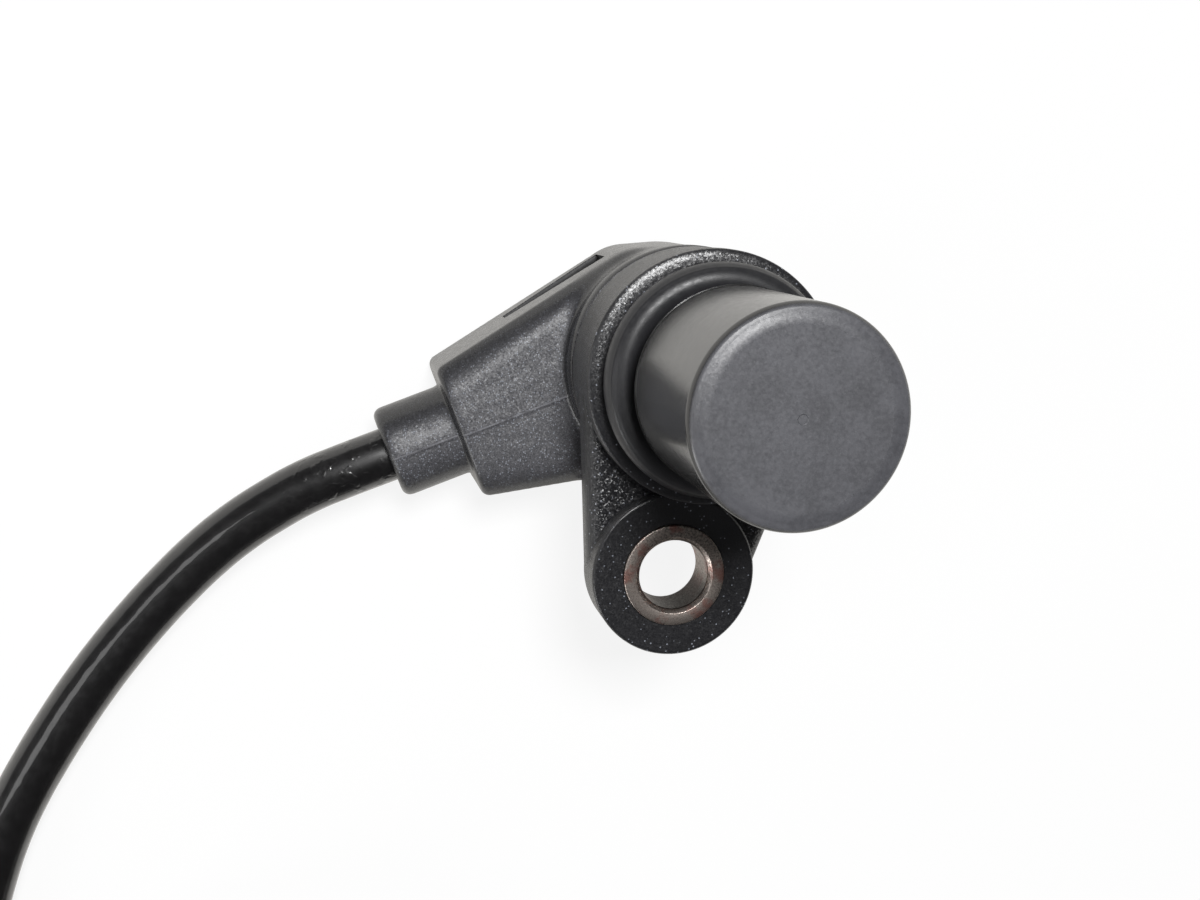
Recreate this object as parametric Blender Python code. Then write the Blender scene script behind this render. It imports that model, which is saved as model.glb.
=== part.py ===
"""Engine speed sensor with a moulded-on lead, standing on its rear face with the sensing nose up.

Metres, +Z up. The origin is on the nose's axis, in the flat rear face that the sensor stands on.
The bolt ear points along -Y. The cable neck leaves at NECK_ANGLE, and the lead lies on the same
surface as the sensor, coiled and tied, with its three-way plug beside the coil.
"""

import math

import bmesh
import bpy
from mathutils import Matrix, Vector

MM = 0.001
SEAT = 0.3 * MM  # gap between neighbouring pieces
PAST = 1.0 * MM  # how far a cutting tool runs past the face that it cuts
SUNK = 0.05 * MM  # keeps joined shapes from sharing a plane

# Flange and nose of the front housing, from the rear body up
BODY_HEIGHT = 16.0 * MM
HOUSING_BASE = BODY_HEIGHT + SEAT
FLANGE_HEIGHT = 8.7 * MM
FLANGE_FACE = HOUSING_BASE + FLANGE_HEIGHT
FLANGE_RADIUS = 11.85 * MM
FLANGE_EDGE = 0.7 * MM
FLANGE_RIM = 2.0 * MM  # height of the rim above the step line
STEP_DEPTH = 0.15 * MM
NOSE_LENGTH = 25.0 * MM
NOSE_TIP = FLANGE_FACE + NOSE_LENGTH
NOSE_RADIUS = 9.0 * MM
NOSE_EDGE = 0.7 * MM
TIP_WALL = 1.2 * MM

# Sealing ring and its groove at the foot of the nose
RING_CORD_RADIUS = 1.8 * MM
RING_STAND = 1.85 * MM  # how far the ring stands out of the nose
RING_RADIUS = NOSE_RADIUS + RING_STAND - RING_CORD_RADIUS
GROOVE_SLACK = 2.2 * MM
GROOVE_WIDTH = 2 * RING_CORD_RADIUS + GROOVE_SLACK
GROOVE_RADIUS = RING_RADIUS - RING_CORD_RADIUS - SEAT

# Hollow of the front housing: a bore for the coil carrier and a pocket for its foot
GROOVE_WALL = 1.35 * MM
BORE_RADIUS = GROOVE_RADIUS - GROOVE_WALL
FLANGE_WALL = 2.85 * MM
POCKET_RADIUS = FLANGE_RADIUS - FLANGE_WALL
POCKET_DEPTH = 3.7 * MM

# Bolt ear with its pressed-in bush
BUSH_BORE = 3.3 * MM
BUSH_WALL = 1.54 * MM
BUSH_RADIUS = BUSH_BORE + BUSH_WALL
BUSH_CHAMFER = 0.37 * MM
BUSH_PROUD = 0.2 * MM
EAR_DISTANCE = 18.95 * MM
EAR_WALL = 2.66 * MM
EAR_RADIUS = BUSH_RADIUS + SEAT + EAR_WALL
BOSS_DROP = 1.0 * MM  # below the flange face
BOSS_TOP = FLANGE_FACE - BOSS_DROP
EAR_THICKNESS = 4.8 * MM
EAR_BASE = BOSS_TOP - EAR_THICKNESS
WEB_DROP = 1.7 * MM  # below the boss
WEB_TOP = BOSS_TOP - WEB_DROP
WEB_EDGE = 1.6 * MM
BOSS_EDGE = 0.35 * MM

# Rear overmould: round body, spigot into the housing, shoulder under the ear
BODY_SETBACK = 0.25 * MM
BODY_RADIUS = FLANGE_RADIUS - BODY_SETBACK
BODY_EDGE = 1.0 * MM
BODY_TOP_EDGE = 0.3 * MM
BODY_FLOOR = 2.5 * MM
SPIGOT_RADIUS = POCKET_RADIUS - SEAT
SPIGOT_HEIGHT = POCKET_DEPTH - 0.5 * MM
SPIGOT_WALL = 1.1 * MM
BODY_CAVITY_RADIUS = SPIGOT_RADIUS - SPIGOT_WALL
CHEEK_RADIUS = 6.0 * MM
SHOULDER_RADIUS = 1.5 * MM

# Cable, and the collar that grips it
CABLE_RADIUS = 2.75 * MM
COLLAR_WALL = 1.65 * MM
COLLAR_RADIUS = CABLE_RADIUS + SEAT + COLLAR_WALL
COLLAR_CLEAR = 1.3 * MM  # under the collar
COLLAR_HEIGHT = COLLAR_RADIUS + COLLAR_CLEAR  # of the collar's axis
COLLAR_LENGTH = 7.3 * MM
COLLAR_ROOT = 3.0 * MM  # how far the collar's solid reaches into the neck
COLLAR_EDGE = 0.9 * MM

# Tapered neck between body and collar
NECK_ANGLE = math.radians(210.0)
NECK_SHIFT = -0.85 * MM  # the neck's middle line passes this far beside the nose's axis
NECK_END = 23.0 * MM
NECK_ROOT = 3.2 * MM
NECK_HALF_WIDTH = 6.85 * MM
NECK_TAPER = math.radians(12.0)
NECK_EDGE = 0.7 * MM
NECK_DROP = 3.9 * MM  # below the body's top
NECK_CREST = BODY_HEIGHT - NECK_DROP
NECK_CROWN = 2.2 * MM
NECK_SIDE_HEIGHT = NECK_CREST - NECK_CROWN
NECK_SHOULDER_END = 3.4 * MM
NECK_SHOULDER_ROOT = 1.9 * MM
NECK_ROOF = 0.2 * MM  # the crest's fall from its middle to the shoulders
NECK_FILLET = 1.7 * MM
FILLET_DEPTH = 2.0 * MM  # how far the fillet's solid reaches into the neck
SLOT_START = 3.6 * MM
SLOT_LENGTH = 11.0 * MM
SLOT_WIDTH = 2.1 * MM
SLOT_DEPTH = 1.0 * MM
SLOT_HEIGHT = 3.5 * MM
COLLAR_END = NECK_END + COLLAR_LENGTH

# Coil carrier, and what it holds round and in its barrel
BOBBIN_RADIUS = BORE_RADIUS - SEAT
BOBBIN_FLANGE = 1.1 * MM
BOBBIN_FOOT = 2.6 * MM
BOBBIN_FOOT_RADIUS = BODY_CAVITY_RADIUS - SEAT
BOBBIN_FOOT_DROP = 0.4 * MM  # below the pocket's end
BOBBIN_BOTTOM = HOUSING_BASE + POCKET_DEPTH - BOBBIN_FOOT_DROP - BOBBIN_FOOT
WINDING_RADIUS = BOBBIN_RADIUS - SEAT
WINDING_DEPTH = 1.5 * MM
WINDING_LENGTH = 15.8 * MM
BOBBIN_BARREL = WINDING_RADIUS - WINDING_DEPTH - SEAT
BARREL_WALL = 0.7 * MM
POLE_RADIUS = BOBBIN_BARREL - BARREL_WALL - SEAT
BOBBIN_TOP = NOSE_TIP - TIP_WALL - SEAT
WINDING_TOP = BOBBIN_TOP - BOBBIN_FLANGE - SEAT
WINDING_BOTTOM = WINDING_TOP - WINDING_LENGTH
MAGNET_COVER = 1.7 * MM  # of the carrier between magnet and winding
MAGNET_TOP = WINDING_BOTTOM - MAGNET_COVER
MAGNET_WALL = 1.8 * MM
MAGNET_RADIUS = BOBBIN_RADIUS - MAGNET_WALL - SEAT
MAGNET_LENGTH = 7.5 * MM

# Terminals, crimps and core wires
TERMINAL_SPACING = 5.6 * MM
TERMINAL_WIDTH = 1.0 * MM
TERMINAL_THICKNESS = 0.4 * MM
TERMINAL_REACH = 3.0 * MM
TERMINAL_OFFSET = -5.2 * MM
CORE_RADIUS = 0.6 * MM
CORE_SPACING = 1.8 * MM
CRIMP_BORE = CORE_RADIUS + SEAT
CRIMP_WALL = 0.35 * MM
CRIMP_LENGTH = 2.6 * MM
CRIMP_GRIP = 0.8 * MM  # how far the foot and the wire reach into the crimp

# Coil of the lead that is put away, and its tie
CABLE_START = BODY_CAVITY_RADIUS + SEAT
POINT_SPACING = 12.0 * MM  # of the tubes' points
COIL_X = -29.5 * MM
COIL_Y = -100.6 * MM
TURN_PITCH = 5.6 * MM
COIL_TURNS_WIDE = 2
COIL_MID_RADIUS = 28.0 * MM
COIL_HALF_WIDTH = COIL_TURNS_WIDE * TURN_PITCH / 2
COIL_INNER = COIL_MID_RADIUS - COIL_HALF_WIDTH
COIL_OUTER = COIL_MID_RADIUS + COIL_HALF_WIDTH
COIL_EDGE = 2.4 * MM
COIL_LAYER = 2 * CABLE_RADIUS  # height of the two turns that lie flat
COIL_LOW = 0.1 * MM
COIL_RISE = 1.3 * MM  # towards the tie, which passes under the coil
STACK_MIDDLE = math.radians(200.0)  # the last stretch of the coil lies on the other two
STACK_HALF_ANGLE = math.radians(125.0)
STACK_EASE = math.radians(25.0)
TIE_ANGLE = math.radians(225.0)
TIE_WIDTH = 3.6 * MM
TIE_THICKNESS = 0.8 * MM
TIE_HEAD = 4.4 * MM
TIE_HEAD_REACH = 3.3 * MM
TIE_TAIL = 7.0 * MM

# Plug, lying along +X beside the coil
PLUG_X = 11.0 * MM
PLUG_Y = COIL_Y - COIL_MID_RADIUS - 2.0 * MM
PLUG_WIDTH = 19.0 * MM
PLUG_HEIGHT = 14.0 * MM
PLUG_CORNER = 2.2 * MM
PLUG_EDGE = 0.5 * MM
PLUG_LENGTH = 29.0 * MM
PLUG_WALL = 1.6 * MM
PLUG_REAR_WALL = 2.0 * MM
PLUG_SOCKET = 13.5 * MM
PLUG_PARTITION = 2.0 * MM
RAMP_WIDTH = 6.0 * MM
RAMP_LENGTH = 7.0 * MM
RAMP_HEIGHT = 1.6 * MM
RAMP_SETBACK = 5.0 * MM
RIB_WIDTH = 1.4 * MM
RIB_HEIGHT = 1.0 * MM
RIB_LENGTH = 20.0 * MM
RIB_START = 2.0 * MM
CAP_LENGTH = 4.5 * MM
CAP_SETBACK = 0.8 * MM
CAP_EDGE = 0.6 * MM
CAP_RIM = 0.7 * MM
BOOT_LENGTH = 14.0 * MM
BOOT_FRONT_RADIUS = PLUG_HEIGHT / 2 - CAP_SETBACK - CAP_RIM - SEAT
BOOT_WALL = 0.85 * MM
BOOT_REAR_RADIUS = CABLE_RADIUS + SEAT + BOOT_WALL
BOOT_RIBS = 3
BOOT_RIB_HEIGHT = 0.6 * MM
BOOT_RIB_WIDTH = 1.0 * MM
CARRIER_THICKNESS = 3.0 * MM
CONTACT_COUNT = 3
CONTACT_PITCH = 4.6 * MM
CONTACT_WIDTH = 1.5 * MM
CONTACT_THICKNESS = 0.64 * MM
CONTACT_REACH = 7.5 * MM  # blade beyond the carrier
CONTACT_POINT = 1.0 * MM
CONTACT_BARREL = 1.9 * MM
CONTACT_BARREL_LENGTH = 4.0 * MM
PLUG_CORE_SPACING = 1.5 * MM

# Facets round a turned shape
ROUND_LARGE = 64
ROUND_MEDIUM = 40
ROUND_SMALL = 20

neck_along = Vector((math.cos(NECK_ANGLE), math.sin(NECK_ANGLE), 0.0))
neck_across = Vector((-math.sin(NECK_ANGLE), math.cos(NECK_ANGLE), 0.0))
neck_matrix = Matrix.Rotation(NECK_ANGLE, 4, "Z")
ear_in_neck = Vector((0.0, -EAR_DISTANCE, 0.0)) @ Matrix.Rotation(NECK_ANGLE, 3, "Z")


def clear_scene():
    for item in list(bpy.data.objects):
        bpy.data.objects.remove(item, do_unlink=True)


def make_material(name, colour, roughness, metallic=0.0):
    material = bpy.data.materials.new(name)
    material.use_nodes = True
    shader = material.node_tree.nodes["Principled BSDF"]
    shader.inputs["Base Color"].default_value = (*colour, 1.0)
    shader.inputs["Roughness"].default_value = roughness
    shader.inputs["Metallic"].default_value = metallic
    return material


def add_object(name, data, material=None, matrix=None):
    item = bpy.data.objects.new(name, data)
    bpy.context.scene.collection.objects.link(item)
    if material:
        data.materials.append(material)
    if matrix:
        item.matrix_world = matrix
    return item


def finish_mesh(name, bm, material, matrix=None):
    bmesh.ops.remove_doubles(bm, verts=bm.verts, dist=1e-7)
    bmesh.ops.recalc_face_normals(bm, faces=bm.faces)
    mesh = bpy.data.meshes.new(name)
    bm.to_mesh(mesh)
    bm.free()
    mesh.shade_smooth()
    mesh.set_sharp_from_angle(angle=math.radians(35.0))
    return add_object(name, mesh, material, matrix)


def lathe(name, profile, steps, material=None, matrix=None):
    """Turns a closed (radius, height) outline about Z."""
    bm = bmesh.new()
    corners = [bm.verts.new((radius, 0.0, height)) for radius, height in profile]
    on_axis = [profile[i][0] == 0.0 and profile[i - 1][0] == 0.0 for i in range(len(profile))]
    for i, corner in enumerate(corners):
        if not on_axis[i]:
            bm.edges.new((corners[i - 1], corner))
    bmesh.ops.spin(
        bm, geom=bm.verts[:] + bm.edges[:], axis=(0, 0, 1), cent=(0, 0, 0),
        angle=math.tau, steps=steps, use_merge=True,
    )
    return finish_mesh(name, bm, material, matrix)


def loft(name, rings, material=None, matrix=None):
    """Joins rings of the same number of points and closes both ends."""
    bm = bmesh.new()
    rows = [[bm.verts.new(point) for point in ring] for ring in rings]
    for low, high in zip(rows, rows[1:]):
        for i in range(len(low)):
            bm.faces.new((low[i - 1], low[i], high[i], high[i - 1]))
    bm.faces.new(rows[0][::-1])
    bm.faces.new(rows[-1])
    return finish_mesh(name, bm, material, matrix)


def box(name, low, high, material=None, matrix=None):
    ring = [(low[0], low[1]), (high[0], low[1]), (high[0], high[1]), (low[0], high[1])]
    rings = [[(x, y, z) for x, y in ring] for z in (low[2], high[2])]
    return loft(name, rings, material, matrix)


def arc(centre, radius, start, end, count):
    """Points of an arc in a plane, angles in degrees."""
    angles = [math.radians(start + (end - start) * i / count) for i in range(count + 1)]
    return [(centre[0] + radius * math.cos(a), centre[1] + radius * math.sin(a)) for a in angles]


def curve_between(start, control, end, count):
    """Quadratic curve from start to end, pulled towards control."""
    points = []
    for i in range(count + 1):
        t = i / count
        points.append(tuple(
            (1 - t) ** 2 * a + 2 * t * (1 - t) * b + t ** 2 * c for a, b, c in zip(start, control, end)
        ))
    return points


def hull_of_circles(circles, count=ROUND_LARGE):
    """Convex outline round circles (x, y, radius): for each corner, its circle and its angle."""
    corners = []
    for circle in circles:
        for i in range(count):
            angle = math.tau * i / count
            x = circle[0] + circle[2] * math.cos(angle)
            y = circle[1] + circle[2] * math.sin(angle)
            corners.append((x, y, circle, angle))
    corners.sort(key=lambda corner: corner[:2])

    def half(ordered):
        chain = []
        for corner in ordered:
            while len(chain) > 1:
                (ax, ay), (bx, by) = chain[-2][:2], chain[-1][:2]
                if (bx - ax) * (corner[1] - ay) - (by - ay) * (corner[0] - ax) > 1e-12:
                    break
                chain.pop()
            chain.append(corner)
        return chain[:-1]

    return [corner[2:] for corner in half(corners) + half(corners[::-1])]


def outline_ring(outline, inset, height):
    return [
        (c[0] + (c[2] - inset) * math.cos(angle), c[1] + (c[2] - inset) * math.sin(angle), height)
        for c, angle in outline
    ]


def rounded_prism(name, circles, low, high, low_edge, high_edge, material=None, matrix=None):
    """Upright body of the circles' hull, with its lower and upper edges rounded."""
    outline = hull_of_circles(circles)
    rings = []
    for inset, height in arc((low_edge, low + low_edge), low_edge, 270, 180, 4):
        rings.append(outline_ring(outline, inset, height))
    for inset, height in arc((high_edge, high - high_edge), high_edge, 180, 90, 4):
        rings.append(outline_ring(outline, inset, height))
    return loft(name, rings, material, matrix)


def circle_touching(first, second, radius):
    """Circle inside two lines, each given as (normal x, normal y, distance from the origin)."""
    a, b = first[2] - radius, second[2] - radius
    determinant = first[0] * second[1] - first[1] * second[0]
    x = (a * second[1] - b * first[1]) / determinant
    y = (first[0] * b - second[0] * a) / determinant
    return x, y, radius


def combine(target, other, operation):
    """Adds a Boolean modifier; the other object is a tool and isn't part of the sensor."""
    modifier = target.modifiers.new(other.name, "BOOLEAN")
    modifier.operation = operation
    modifier.object = other
    modifier.solver = "EXACT"
    other.hide_render = True
    other.display_type = "WIRE"


def tube(name, points, radius, material, resolution=3):
    """Round cord through points, with flat closed ends."""
    curve = bpy.data.curves.new(name, "CURVE")
    curve.dimensions = "3D"
    curve.bevel_depth = radius
    curve.bevel_resolution = resolution
    curve.use_fill_caps = True
    spline = curve.splines.new("POLY")
    spline.points.add(len(points) - 1)
    for point, place in zip(spline.points, points):
        point.co = (*place, 1.0)
    return add_object(name, curve, material)


def smooth_route(chosen, spacing):
    """Points a set distance apart along a smooth curve through the chosen ones."""
    chosen = [Vector(point) for point in chosen]
    padded = [2 * chosen[0] - chosen[1], *chosen, 2 * chosen[-1] - chosen[-2]]
    fine = []
    for before, start, end, after in zip(padded, padded[1:], padded[2:], padded[3:]):
        for step in range(20):
            t = step / 20
            fine.append(0.5 * (
                2 * start + (end - before) * t
                + (2 * before - 5 * start + 4 * end - after) * t ** 2
                + (3 * start - before - 3 * end + after) * t ** 3
            ))
    fine.append(chosen[-1])
    total = sum((b - a).length for a, b in zip(fine, fine[1:]))
    count = max(2, round(total / spacing))
    route, walked, wanted = [fine[0]], 0.0, total / count
    for a, b in zip(fine, fine[1:]):
        length = (b - a).length
        while walked + length >= wanted - 1e-9 and len(route) < count:
            route.append(a.lerp(b, (wanted - walked) / length))
            wanted += total / count
        walked += length
    route.append(fine[-1])
    return route


def along_neck(along, across, height):
    """Place given along and across the neck, in the sensor's own frame."""
    return neck_along * along + neck_across * across + Vector((0.0, 0.0, height))


def lying_along(direction, place):
    """Matrix that lays a lathe's axis along a direction."""
    return Matrix.Translation(place) @ direction.to_track_quat("Z", "Y").to_matrix().to_4x4()


clear_scene()

housing_plastic = make_material("housing_plastic", (0.030, 0.031, 0.034), 0.42)
overmould_plastic = make_material("overmould_plastic", (0.034, 0.035, 0.038), 0.5)
seal_rubber = make_material("seal_rubber", (0.022, 0.022, 0.024), 0.55)
cable_jacket = make_material("cable_jacket", (0.008, 0.008, 0.010), 0.16)
bush_steel = make_material("bush_steel", (0.42, 0.38, 0.34), 0.35, 1.0)
copper_wire = make_material("copper_wire", (0.72, 0.33, 0.16), 0.35, 1.0)
magnet_alloy = make_material("magnet_alloy", (0.35, 0.35, 0.36), 0.45, 1.0)
soft_iron = make_material("soft_iron", (0.45, 0.45, 0.46), 0.35, 1.0)
bobbin_plastic = make_material("bobbin_plastic", (0.10, 0.085, 0.06), 0.55)
tinned_brass = make_material("tinned_brass", (0.66, 0.64, 0.58), 0.3, 1.0)
core_brown = make_material("core_brown", (0.12, 0.05, 0.025), 0.5)
core_white = make_material("core_white", (0.62, 0.62, 0.60), 0.5)
plug_plastic = make_material("plug_plastic", (0.028, 0.029, 0.031), 0.48)
carrier_plastic = make_material("carrier_plastic", (0.16, 0.17, 0.18), 0.5)
tie_nylon = make_material("tie_nylon", (0.03, 0.03, 0.032), 0.4)


def add_front_housing():
    """Nose, groove, flange and bolt ear: one moulding, open at the rear for the coil carrier."""
    step_height = FLANGE_FACE - FLANGE_RIM
    lower_radius = FLANGE_RADIUS - STEP_DEPTH
    profile = [(0.0, HOUSING_BASE), (lower_radius, HOUSING_BASE)]
    profile += [(lower_radius, step_height - 2 * STEP_DEPTH)]
    profile += [(lower_radius - STEP_DEPTH, step_height - STEP_DEPTH)]
    profile += [(FLANGE_RADIUS, step_height)]
    profile += arc((FLANGE_RADIUS - FLANGE_EDGE, FLANGE_FACE - FLANGE_EDGE), FLANGE_EDGE, 0, 90, 4)
    profile += [(GROOVE_RADIUS, FLANGE_FACE), (GROOVE_RADIUS, FLANGE_FACE + GROOVE_WIDTH)]
    profile += [(NOSE_RADIUS, FLANGE_FACE + GROOVE_WIDTH)]
    profile += arc((NOSE_RADIUS - NOSE_EDGE, NOSE_TIP - NOSE_EDGE), NOSE_EDGE, 0, 90, 4)
    profile += [(0.0, NOSE_TIP)]
    housing = lathe("sensor_housing", profile, ROUND_LARGE, housing_plastic)

    web_circles = [(0.0, 0.0, lower_radius - SUNK), (0.0, -EAR_DISTANCE, EAR_RADIUS - SUNK)]
    web = rounded_prism("ear_web", web_circles, EAR_BASE, WEB_TOP, BOSS_EDGE, WEB_EDGE)
    combine(housing, web, "UNION")
    boss_profile = [(0.0, EAR_BASE + SUNK), (EAR_RADIUS - BOSS_EDGE, EAR_BASE + SUNK)]
    boss_profile += [(EAR_RADIUS, EAR_BASE + BOSS_EDGE + SUNK)]
    boss_profile += arc((EAR_RADIUS - BOSS_EDGE, BOSS_TOP - BOSS_EDGE), BOSS_EDGE, 0, 90, 2)
    boss_profile += [(0.0, BOSS_TOP)]
    ear_place = Matrix.Translation((0.0, -EAR_DISTANCE, 0.0))
    combine(housing, lathe("ear_boss", boss_profile, ROUND_MEDIUM, matrix=ear_place), "UNION")

    pocket_top = HOUSING_BASE + POCKET_DEPTH
    below = HOUSING_BASE - PAST
    bore = [(0.0, below), (POCKET_RADIUS, below), (POCKET_RADIUS, pocket_top)]
    bore += [(BORE_RADIUS, pocket_top), (BORE_RADIUS, NOSE_TIP - TIP_WALL), (0.0, NOSE_TIP - TIP_WALL)]
    combine(housing, lathe("housing_bore", bore, ROUND_MEDIUM), "DIFFERENCE")
    hole = BUSH_RADIUS + SEAT
    hole_profile = [(0.0, EAR_BASE - PAST), (hole, EAR_BASE - PAST)]
    hole_profile += [(hole, BOSS_TOP + PAST), (0.0, BOSS_TOP + PAST)]
    combine(housing, lathe("bush_hole", hole_profile, ROUND_MEDIUM, matrix=ear_place), "DIFFERENCE")


def add_seal_and_bush():
    height = FLANGE_FACE + RING_CORD_RADIUS + SEAT
    section = arc((RING_RADIUS, height), RING_CORD_RADIUS, 0, 360, 12)[:-1]
    lathe("o_ring", section, ROUND_MEDIUM, seal_rubber)

    low, high = EAR_BASE - BUSH_PROUD, BOSS_TOP + BUSH_PROUD
    bush = [(BUSH_BORE, low + BUSH_CHAMFER), (BUSH_BORE + BUSH_CHAMFER, low)]
    bush += [(BUSH_RADIUS - BUSH_PROUD, low), (BUSH_RADIUS, low + BUSH_PROUD)]
    bush += [(BUSH_RADIUS, high - BUSH_PROUD), (BUSH_RADIUS - BUSH_PROUD, high)]
    bush += [(BUSH_BORE + BUSH_CHAMFER, high), (BUSH_BORE, high - BUSH_CHAMFER)]
    ear_place = Matrix.Translation((0.0, -EAR_DISTANCE, 0.0))
    lathe("compression_bush", bush, ROUND_MEDIUM, bush_steel, ear_place)


def neck_half_width(along):
    return NECK_HALF_WIDTH + (NECK_END - along) * math.tan(NECK_TAPER)


def overmould_circles():
    """Plan circles of the rear body and of the neck, in the neck's frame."""
    side, front = math.sin(NECK_TAPER), math.cos(NECK_TAPER)
    reach = neck_half_width(0.0) * front
    upper_wall = (side, -front, reach - NECK_SHIFT * front)
    lower_wall = (side, front, reach + NECK_SHIFT * front)
    lean = math.asin((FLANGE_RADIUS - EAR_RADIUS) / EAR_DISTANCE)
    ear_side = math.atan2(ear_in_neck.y, ear_in_neck.x) - math.pi / 2 + lean
    ear_wall = (math.cos(ear_side), math.sin(ear_side), BODY_RADIUS)
    end_wall = (1.0, 0.0, NECK_END)
    body = (0.0, 0.0, BODY_RADIUS)
    cheek_reach = upper_wall[2] - CHEEK_RADIUS
    cheek = (upper_wall[0] * cheek_reach, upper_wall[1] * cheek_reach, CHEEK_RADIUS)
    shoulder = circle_touching(ear_wall, lower_wall, SHOULDER_RADIUS)
    corners = [circle_touching(wall, end_wall, NECK_EDGE) for wall in (upper_wall, lower_wall)]
    return [body, cheek, shoulder], corners


def neck_section(along, inset):
    """Flat sides, sloped shoulders and a low crest on the front, flat on the rear."""
    half = neck_half_width(along) - inset
    share = (along - NECK_ROOT) / (NECK_END - NECK_ROOT)
    shoulder = NECK_SHOULDER_ROOT + (NECK_SHOULDER_END - NECK_SHOULDER_ROOT) * share
    side, crest = NECK_SIDE_HEIGHT - inset, NECK_CREST - inset
    flat = crest - NECK_ROOF
    pull = (half - 0.45 * shoulder, flat - 0.5 * NECK_ROOF)
    right = [(half - BODY_EDGE, inset), (half - 0.3 * BODY_EDGE, inset + 0.3 * BODY_EDGE)]
    right += [(half, inset + BODY_EDGE)]
    right += curve_between((half, side), pull, (half - shoulder, flat), 6)
    across = right + [(0.0, crest)] + [(-v, z) for v, z in right[::-1]]
    return [(along, NECK_SHIFT + v, z) for v, z in across]


def add_rear_overmould():
    """Body, neck and collar moulded round the terminals and the cable."""
    body_circles, corner_circles = overmould_circles()
    overmould = rounded_prism(
        "rear_overmould", body_circles, 0.0, BODY_HEIGHT, BODY_EDGE, BODY_TOP_EDGE,
        overmould_plastic, neck_matrix,
    )
    middle = 0.5 * (NECK_ROOT + NECK_END)
    stations = [(NECK_ROOT, 0.0), (middle, 0.0)]
    for along, keep in arc((NECK_END - NECK_EDGE, 0.0), NECK_EDGE, 90, 0, 3):
        stations.append((along, NECK_EDGE - keep))
    neck = loft("neck", [neck_section(*station) for station in stations], matrix=neck_matrix)
    combine(overmould, neck, "UNION")

    outline = hull_of_circles(body_circles)
    top = NECK_CREST + NECK_FILLET
    fillet_rings = [outline_ring(outline, -NECK_FILLET, NECK_SIDE_HEIGHT - FILLET_DEPTH)]
    for inset, height in arc((0.0, top), NECK_FILLET, 270, 180, 4):
        fillet_rings.append(outline_ring(outline, -NECK_FILLET - inset, height))
    fillet_rings.append(outline_ring(outline, 0.5 * MM, top + SEAT))
    fillet = loft("neck_fillet", fillet_rings, matrix=neck_matrix)
    neck_plan = rounded_prism(
        "neck_plan", body_circles + corner_circles, BODY_EDGE, BODY_HEIGHT - BODY_EDGE,
        2 * SUNK, 2 * SUNK, matrix=neck_matrix,
    )
    combine(fillet, neck_plan, "INTERSECT")
    combine(overmould, fillet, "UNION")

    collar_start = NECK_END - COLLAR_ROOT
    length = COLLAR_END - collar_start
    collar_profile = [(0.0, 0.0), (COLLAR_RADIUS, 0.0)]
    collar_profile += arc((COLLAR_RADIUS - COLLAR_EDGE, length - COLLAR_EDGE), COLLAR_EDGE, 0, 90, 4)
    collar_profile += [(0.0, length)]
    collar_place = lying_along(neck_along, along_neck(collar_start, NECK_SHIFT, COLLAR_HEIGHT))
    combine(overmould, lathe("collar", collar_profile, ROUND_MEDIUM, matrix=collar_place), "UNION")

    spigot_top = BODY_HEIGHT + SPIGOT_HEIGHT
    spigot = [(BODY_CAVITY_RADIUS - PAST, BODY_FLOOR + PAST), (SPIGOT_RADIUS, BODY_FLOOR + PAST)]
    spigot += [(SPIGOT_RADIUS, spigot_top), (BODY_CAVITY_RADIUS - PAST, spigot_top)]
    combine(overmould, lathe("spigot", spigot, ROUND_MEDIUM), "UNION")
    cavity = [(0.0, BODY_FLOOR), (BODY_CAVITY_RADIUS, BODY_FLOOR)]
    cavity += [(BODY_CAVITY_RADIUS, spigot_top + PAST), (0.0, spigot_top + PAST)]
    combine(overmould, lathe("body_cavity", cavity, ROUND_MEDIUM), "DIFFERENCE")
    bore_length = COLLAR_END + PAST
    cable_bore = CABLE_RADIUS + SEAT
    bore = [(0.0, 0.0), (cable_bore, 0.0), (cable_bore, bore_length), (0.0, bore_length)]
    bore_place = lying_along(neck_along, along_neck(0.0, NECK_SHIFT, COLLAR_HEIGHT))
    combine(overmould, lathe("cable_bore", bore, ROUND_MEDIUM, matrix=bore_place), "DIFFERENCE")

    wall = -neck_half_width(SLOT_START) + NECK_SHIFT
    slot_matrix = neck_matrix @ Matrix.Translation((SLOT_START, wall, SLOT_HEIGHT))
    slot_matrix = slot_matrix @ Matrix.Rotation(NECK_TAPER, 4, "Z")
    half = SLOT_WIDTH / 2
    slot = box("neck_slot", (0.0, -PAST, -half), (SLOT_LENGTH, SLOT_DEPTH, half), matrix=slot_matrix)
    combine(overmould, slot, "DIFFERENCE")


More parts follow.
